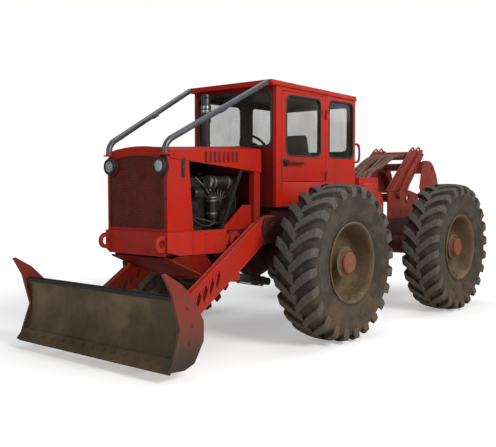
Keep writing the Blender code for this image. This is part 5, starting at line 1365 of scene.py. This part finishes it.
bumperWork = {
    "nose": 1.775, "noseBolts": ((0.30, 1.14), (0.30, 1.00), (0.16, 1.14), (0.16, 1.00)),
    "sideBolts": (1.05, 1.25, 1.45, 1.65), "hook": (1.815, 1.08, 0.060), "eye": (0.80, 1.07, 0.046),
    "bellySeam": ((1.60, 0.945), (1.25, 0.945), (1.115, 0.80), (1.18, 0.70), (1.68, 0.915)),
}


def makeBladeWork():
    bolts, ribs = Heap(), Heap()
    x, z = bladeWork["boltPlace"]
    for k in range(bladeWork["bolts"]):  # plough bolts along the cutting edge
        y = bladeWork["boltStart"] + bladeWork["boltPitch"] * k
        bolts.lathe(bladeWork["boltHead"], spot(x, y, z), bladeWork["boltLean"], 16)
    thick = bladeWork["ribThick"] / 2
    for y in bladeWork["ribs"]:  # upright ribs on the back
        ribs.plate(fromAxle(bladeWork["rib"]), "y", y - thick, y + thick, 0.003)
    for right, left in bladeWork["stiffeners"]:
        ribs.block(spot(2.150, right, 0.395), spot(2.200, left, 0.455), 0.006)
    for side in (1, -1):  # worn edge bars on the end plates
        ribs.pipe([spot(u, side * 1.0805, v) for u, v in bladeWork["endEdge"]], 0.0115, 8)
        for x, z in bladeWork["endBolts"]:
            bolts.bolt(spot(x, side * 1.0955, z), (0, side, 0), 0.013, 0.009)
    ribs.pipe([spot(2.262, -1.05, 0.702), spot(2.262, 1.05, 0.702)], 0.0125, 10)
    bolts.make("blade_bolts", "blade_set", "bladeEarth", "blade_steel")
    ribs.make("blade_ribs", "blade_set", "bladeEarth", "blade_steel")


def armLine(x, lift):
    # height of the arm's lower edge at a station, or of what lies that much above it
    return armWork["foot"] - armWork["slope"] * (x - armWork["pivot"][0]) + lift


def makeArmWork():
    pads, caps = Heap(), Heap()
    pivotX, pivotZ = armWork["pivot"]
    ends = (armWork["from"], armWork["to"])
    for side in (1, -1):
        out = (0, side, 0)
        for lift in (armWork["deep"], 0.0):  # flange strips along the beam's edges
            for y in (0.5475, 0.6125):
                pads.pipe([spot(x, side * y, armLine(x, lift)) for x in ends], 0.008, 8)
        for k in range(armWork["rungs"]):  # bright-edged rungs in the ladder
            x = armWork["rungStart"][0] + armWork["rungPitch"] * k
            z = armWork["rungStart"][1] - armWork["slope"] * armWork["rungPitch"] * k
            pads.pipe(spots(side, (x + 0.060, 0.617, z), (x + 0.114, 0.617, z - 0.146)), 0.0065, 6)
        pads.lathe([(0.050, 0.0), (0.050, 0.010), (0.040, 0.014)], spot(1.80, side * 0.6145, 0.38), out, 28)
        caps.lathe(armWork["cap"], spot(pivotX, side * 0.642, pivotZ), out, 36)
        caps.boltRing(spot(pivotX, 0, pivotZ), "y", side * 0.657, 0.043, 4, 0.5, out, 0.008, 0.006)
        seam = [around("y", 0.148, math.radians(a), side * 0.6405) for a in range(-110, 61, 10)]
        caps.pipe([spot(pivotX, 0, pivotZ) + p for p in seam], 0.006, 6)
        for x, z in armWork["frameBolts"]:
            caps.bolt(spot(x, side * 0.6402, z), out, 0.012, 0.010)
    pads.make("arm_edges", "blade_set", "redWorn", "red_paint")
    caps.make("arm_pivot_caps", "front", "redDark", "dark_red_paint")


def makeBumperWork():
    trim = Heap()
    nose = spot(bumperWork["nose"], 0, 0).x
    hookX, hookZ, hookRadius = bumperWork["hook"]
    eyeX, eyeZ, eyeRadius = bumperWork["eye"]
    for side in (1, -1):
        for y, z in bumperWork["noseBolts"]:
            trim.bolt((nose, side * y, z), (1, 0, 0), 0.012, 0.010)
        for x in bumperWork["sideBolts"]:
            for z in (1.155, 0.985):
                trim.bolt(spot(x, side * 0.45, z), (0, side, 0), 0.011, 0.009)
        for y in (0.3875, 0.4175):  # rolled edges of the tow eye in front
            ring = [around("y", hookRadius, math.radians(a), side * y) for a in range(-90, 91, 15)]
            trim.pipe([spot(hookX, 0, hookZ) + p for p in ring], 0.0075, 8)
        eye = [around("y", eyeRadius, math.tau * k / 24, side * 0.4405) for k in range(25)]
        trim.pipe([spot(eyeX, 0, eyeZ) + p for p in eye], 0.008, 8)
        trim.pipe([spot(x, side * 0.424, z) for x, z in bumperWork["bellySeam"]], 0.006, 6)
    trim.make("bumper_fittings", "front", "redWorn", "red_paint")


makeBladeWork()
makeArmWork()
makeBumperWork()
print("blade made")


# cylinders and drive line
ramWork = {  # foot, head, barrel radius, how far the barrel stops short of the head, which way the ports face
    "lift": ((0.35, 0.49, 0.60), (1.00, 0.49, 0.72), 0.045, 0.112, -1),
    "steer": ((-0.71, 0.22, 0.83), (-1.36, 0.22, 0.83), 0.042, 0.202, 1),
}
driveWork = {
    "axles": (("front", 0.0, -1), ("rear", -2.61, 1)), "height": 0.8275,
    "nose": [(0.05, 0.215), (0.105, 0.215), (0.105, 0.235), (0.085, 0.245), (0.06, 0.30), (0.045, 0.31)],
    "brakeLine": ((0.02, 0.10, 0.225), (0, 0.30, 0.14), (0, 0.60, 0.125), (0, 0.93, 0.13)),
}


def makeRam(kind, side, name):
    foot, head, bore, short, face = ramWork[kind]
    start, end = spots(side, foot, head)
    up = Vector((0, 0, face))
    along = (end - start).normalized()
    tip = (end - start).length - short
    work = Heap()
    wide = bore + 0.004
    gland = [(bore, tip - 0.050), (wide, tip - 0.047), (wide, tip - 0.006), (bore, tip - 0.002)]
    work.lathe(gland, start, along, 32)
    work.lathe(collarShape(bore, bore + 0.003, 0.062, 0.026), start, along, 32)
    for at in (0.095, tip - 0.065):
        port = [(0.014, bore - 0.006), (0.014, bore + 0.012), (0.010, bore + 0.016)]
        work.lathe(port, start + along * at, up, 12)
    out = up * (bore + 0.010)
    line = ((0.10, 0.9), (0.13, 1), (tip - 0.10, 1), (tip - 0.065, 0.9))
    work.pipe([start + along * at + out * share for at, share in line], 0.006, 8, 3)
    work.make(f"{kind}_barrel_work_{name}", f"{kind}_barrel_{name}", "steelDark", "black_parts")


def makeAxleWork(end, x, sign):
    work = Heap()
    centre = spot(x, 0, driveWork["height"])
    work.lathe(driveWork["nose"], centre, (sign, 0, 0), 32)
    work.lathe([(0.227, -0.012), (0.237, -0.010), (0.237, 0.010), (0.227, 0.012)], centre, (0, 1, 0), 48)
    work.boltRing(centre, "y", 0.011, 0.231, 16, 0, (0, 1, 0), 0.009, 0.009)
    for k in range(3):
        at = centre + Vector((sign * (0.36 + 0.07 * k), 0, 0))
        work.lathe([(0.041, -0.012), (0.055, -0.010), (0.055, 0.010), (0.041, 0.012)], at, (1, 0, 0), 24)
    joint = centre + Vector((sign * 0.33, 0, 0))
    work.block(joint - Vector((0.02, 0.05, 0.02)), joint + Vector((0.02, 0.05, 0.02)), 0.006)
    for side in (1, -1):
        work.boltRing(centre, "y", side * 0.962, 0.142, 8, 0, (0, -side, 0), 0.010, 0.010)
        work.lathe([(0.116, 0.34), (0.122, 0.342), (0.122, 0.37), (0.116, 0.372)], centre, (0, side, 0), 36)
    work.pipe([centre + Vector((-sign * x, y, z)) for x, y, z in driveWork["brakeLine"]], 0.007, 8, 5)
    work.make(f"axle_work_{end}", end, "redDark", "dark_red_paint")


for side, name in ((1, "left"), (-1, "right")):
    makeRam("lift", side, name)
    makeRam("steer", side, name)
for end, x, sign in driveWork["axles"]:
    makeAxleWork(end, x, sign)


# winch, arch and fairlead
drumWork = {
    "bore": 0.0315, "core": 0.134, "flange": 0.190,
    "turns": 32, "perTurn": 22, "rope": 0.0072, "wound": 0.1405,
}
winchWork = {
    "front": -1.62, "rear": -2.09, "out": 0.42,
    "boss": [(0.001, 0.0), (0.085, 0.0), (0.085, 0.012), (0.060, 0.030), (0.030, 0.034), (0.001, 0.034)],
    "bearing": [(0.001, 0.0), (0.055, 0.0), (0.055, 0.012), (0.030, 0.020), (0.001, 0.021)],
    "hoses": 6, "hosePitch": 0.085, "hose": 0.027,
    "sideHose": (
        (-1.64, 0.26, 1.28), (-1.70, 0.435, 1.25), (-1.86, 0.445, 1.22), (-2.06, 0.43, 1.24),
        (-2.16, 0.33, 1.30),
    ),
}
archWork = {
    "legEdges": (
        ((-2.62, 1.575), (-2.64, 1.60), (-3.27, 2.143), (-3.40, 2.146), (-3.47, 2.140)),
        ((-3.00, 1.575), (-3.03, 1.60), (-3.50, 2.09)),
    ),
    "head": [(0.001, 0.0), (0.075, 0.0), (0.075, 0.018), (0.060, 0.026), (0.030, 0.028), (0.001, 0.028)],
    "eyeRing": [(0.047, 0.0), (0.072, 0.0), (0.072, 0.010), (0.047, 0.010)],
    "footBolts": ((-2.60, 1.50), (-2.60, 1.26), (-2.85, 1.26), (-3.10, 1.26), (-3.27, 1.26), (-2.85, 1.50)),
    "pin": [(0.001, 0.0), (0.030, 0.0), (0.030, 0.012), (0.020, 0.018), (0.001, 0.018)],
    "guardEdge": [
        (-3.36, 1.98), (-3.56, 1.985), (-3.68, 1.93), (-3.78, 1.80), (-3.84, 1.64), (-3.848, 1.51),
    ],
    "guardWeb": [
        (-3.24, 1.60), (-3.30, 1.52), (-3.838, 1.515), (-3.832, 1.64), (-3.772, 1.795), (-3.672, 1.922),
        (-3.556, 1.978), (-3.40, 1.978), (-3.30, 1.86),
    ],
    "footWeb": [(-2.66, 1.575), (-3.05, 1.575), (-3.10, 1.70), (-2.98, 1.80), (-2.86, 1.76)],
    "webBolts": ((-3.36, 1.58), (-3.60, 1.58), (-3.76, 1.58), (-3.36, 1.90), (-3.70, 1.78)),
    "strut": ((-2.75, 0.375, 1.50), (-3.02, 0.380, 1.82), (-3.28, 0.375, 2.02)),
    "strutSleeve": ((-2.95, 0.378, 1.735), (-3.28, 0.375, 2.02)),
    "strutEye": [
        (0.001, -0.028), (0.044, -0.028), (0.048, -0.022), (0.048, 0.022), (0.044, 0.028), (0.001, 0.028),
    ],
    "roller": [(0.050, 0.0), (0.055, 0.01), (0.055, 0.05), (0.050, 0.09)],  # (radius, how far in)
}


def makeDrum():
    low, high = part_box("winch_drum")
    centre, half = (low + high) / 2, (high.y - low.y) / 2
    bore, core, flange = drumWork["bore"], drumWork["core"], drumWork["flange"]
    cheek = [(bore, half - 0.020), (flange - 0.004, half - 0.020), (flange, half - 0.016)]
    cheek += [(flange, half - 0.004), (flange - 0.004, half), (bore, half)]
    drum, rope = Heap(), Heap()
    for side in (1, -1):
        drum.lathe(cheek, centre, (0, side, 0), 56, True)
        drum.boltRing(centre, "y", side * half, 0.07, 6, 0, (0, side, 0), 0.008, 0.006)
    reach = half - 0.015
    drum.lathe([(bore, -reach), (core, -reach), (core, reach), (bore, reach)], centre, (0, 1, 0), 40, True)
    drum.make("drum_body", "winch_drum", "redDark", "wire_rope", ["winch_drum"])
    turns, perTurn = drumWork["turns"], drumWork["perTurn"]
    pitch = (2 * half - 0.056) / turns
    wound = []
    for k in range(turns * perTurn + 1):
        along = -half + 0.028 + pitch * k / perTurn
        wound.append(centre + around("y", drumWork["wound"], math.tau * k / perTurn, along))
    rope.pipe(wound, drumWork["rope"], 6)
    rope.make("drum_rope", "winch_drum", "ropeSteel", "wire_rope")


def boltLoop(us, vs, radius):
    # bolt places round a cover: two to each corner
    return roundedLoop(us, vs, radius, 0, 1)


def makeWinch():
    case, lines = Heap(), Heap()
    front, rear, out = winchWork["front"], winchWork["rear"], winchWork["out"]
    for side in (1, -1):
        axis, y = (0, side, 0), side * out
        cover = roundedLoop((rear + 0.06, front - 0.06), (1.24, 1.66), 0.05)
        case.plate(fromAxle(cover), "y", *facing(side, out - 0.001, out + 0.010), 0.003)
        for x, z in boltLoop((rear + 0.085, front - 0.085), (1.265, 1.635), 0.04):
            case.bolt(spot(x, y + side * 0.010, z), axis, 0.010, 0.008)
        case.lathe(winchWork["boss"], spot(-1.86, y, 1.45), axis, 40)
        case.lathe(winchWork["bearing"], spot(-2.32, side * 0.295, 1.42), axis, 32)
    lid = roundedLoop((rear + 0.05, front - 0.05), (-0.37, 0.37), 0.04)
    case.plate(fromAxle(lid), "z", 1.7295, 1.738, 0.003)
    for x, y in boltLoop((rear + 0.075, front - 0.075), (-0.345, 0.345), 0.03):
        case.bolt(spot(x, y, 1.738), (0, 0, 1), 0.010, 0.008)
    case.make("winch_covers", "rear", "redWorn", "red_paint")
    # hydraulic hoses that arch from the winch's back to the arch's head
    for k in range(winchWork["hoses"]):
        y = -0.26 + winchWork["hosePitch"] * k
        lines.pipe([
            spot(-2.12, y, 1.50 + 0.02 * k), spot(-2.34, y, 1.66 + 0.03 * k),
            spot(-2.62, y * 0.98, 1.86 + 0.02 * (k % 3)), spot(-2.95, y * 0.95, 2.02 + 0.015 * (k % 2)),
            spot(-3.20, y * 0.9, 2.06), spot(-3.345, y * 0.9, 2.045),
        ], winchWork["hose"], 12, 6)
    for side in (1, -1):
        lines.pipe(spots(side, *winchWork["sideHose"]), 0.012, 10, 5)
    lines.make("winch_hoses", "rear", "hoseBrown", "wire_rope")


def makeRoller():
    # worn hollow in the middle
    low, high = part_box("fairlead_roller")
    middle, half = (low + high) / 2, (high.y - low.y) / 2
    right = [(radius, -half + inward) for radius, inward in archWork["roller"]]
    left = [(radius, half - inward) for radius, inward in reversed(archWork["roller"])]
    roller = Heap()
    roller.lathe([(0.001, -half)] + right + [(0.048, 0)] + left + [(0.001, half)], middle, (0, 1, 0), 40)
    roller.make("fairlead_roller_worn", "fairlead_roller", "brightSteel", "rod_chrome", ["fairlead_roller"])


def makeArch():
    trim, pins, webs = Heap(), Heap(), Heap()
    for side in (1, -1):
        axis, out = (0, side, 0), side * 0.34
        for route in archWork["legEdges"]:  # rounded channel edges on the sloping legs
            for y in (0.352, 0.262):
                trim.pipe([spot(x, side * y, z) for x, z in route], 0.012, 8, 3)
        trim.lathe(archWork["head"], spot(-3.38, side * 0.350, 2.07), axis, 36)
        trim.lathe(archWork["eyeRing"], spot(-3.06, out, 1.455), axis, 36, True)
        for x, z in archWork["footBolts"]:
            trim.bolt(spot(x, out, z), axis, 0.012, 0.010)
        pins.lathe(archWork["pin"], spot(-3.62, side * 0.42, 1.90), axis, 24)
        trim.pipe([spot(x + 0.004, side * 0.415, z) for x, z in archWork["guardEdge"]], 0.008, 8, 4)
        webs.plate(fromAxle(archWork["guardWeb"]), "y", *facing(side, 0.424, 0.434), 0.003)
        webs.plate(fromAxle(archWork["footWeb"]), "y", *facing(side, 0.346, 0.358), 0.003)
        for x, z in archWork["webBolts"]:
            webs.bolt(spot(x, side * 0.434, z), axis, 0.012, 0.010)
        strut = spots(side, *archWork["strut"])
        webs.pipe(strut, 0.026, 14)
        webs.pipe(spots(side, *archWork["strutSleeve"]), 0.036, 16)
        for place in (strut[0], strut[-1]):
            webs.lathe(archWork["strutEye"], place, (0, 1, 0), 28)
    webs.pipe([spot(-3.16, -0.34, 1.92), spot(-3.16, 0.34, 1.92)], 0.030, 16)
    webs.make("arch_webs", "rear", "redPink", "red_paint")
    makeRoller()
    trim.make("arch_edges", "rear", "redPink", "red_paint")
    pins.make("arch_pins", "rear", "steelDark", "black_parts")


makeDrum()
makeWinch()
makeArch()
print("winch and arch made")


# finish of the CAD pieces that keep their shape
dressed = {
    "redPaint": ["hood", "nose_shell"],
    "bayPaintAndShade": ["hood_frame"],
    "cabFrontPaintedShade": ["cab_front"],
    "redBellyShaded": ["belly_pan"],
    "cabPaintAndInsideShade": ["cab_rear", "cab_roof", "cab_side_left", "cab_side_right", "door_left", "door_right"],
    "redWorn": ["bumper", "blade_arms", "winch_case"],
    "redPink": ["arch", "butt_plate"],
    "redDark": ["front_frame", "rear_frame", "front_axle", "rear_axle", "grille", "cab_floor"],
    "bladeEarth": ["blade", "cutting_edge"],
    "barPaint": ["deflector_bar_left", "deflector_bar_right"],
    "windowTint": [
        "windscreen", "rear_window", "door_glass_left", "door_glass_right",
        "side_glass_left", "side_glass_right",
    ],
    "darkIronAndShade": ["engine", "dashboard"],
    "steelDark": [
        "lift_left_barrel", "lift_right_barrel", "steer_left_barrel", "steer_right_barrel", "exhaust_stack",
    ],
    "chromeSmooth": ["lift_left_rod", "lift_right_rod", "steer_left_rod", "steer_right_rod"],
}
edgeRound = {"usual": 0.004, "windowTint": 0.0, "cab_roof": 0.008, "grille": 0.0}
for finish, members in dressed.items():
    for node in members:
        dress(node, finish, edgeRound.get(node, edgeRound.get(finish, edgeRound["usual"])))


# floor
def makeFloor():
    mesh = bpy.data.meshes.new("studioFloor")
    reach = studio["floorReach"]
    corners = [(-reach, -reach), (reach, -reach), (reach, reach), (-reach, reach)]
    mesh.from_pydata([(x, y, -0.002) for x, y in corners], [], [(0, 1, 2, 3)])
    floor = bpy.data.objects.new("studioFloor", mesh)
    bpy.context.scene.collection.objects.link(floor)
    material, tree, shader = startMaterial("studioFloor")
    shader.inputs["Base Color"].default_value = (*studio["floor"], 1)
    shader.inputs["Roughness"].default_value = 0.9
    shader.inputs["Emission Color"].default_value = (1, 1, 1, 1)
    # the floor fades into the white backdrop, for the camera only
    seen = put(tree, "LightPath").outputs["Is Camera Ray"]
    here = put(tree, "NewGeometry").outputs["Position"]
    away = put(tree, "VectorMath", {"operation": "LENGTH"}, i0=here).outputs["Value"]
    glow = times(tree, seen, ramp(tree, away, *studio["glow"]))
    tree.links.new(glow, shader.inputs["Emission Strength"])
    mesh.materials.append(material)


makeFloor()
print("all pieces made")
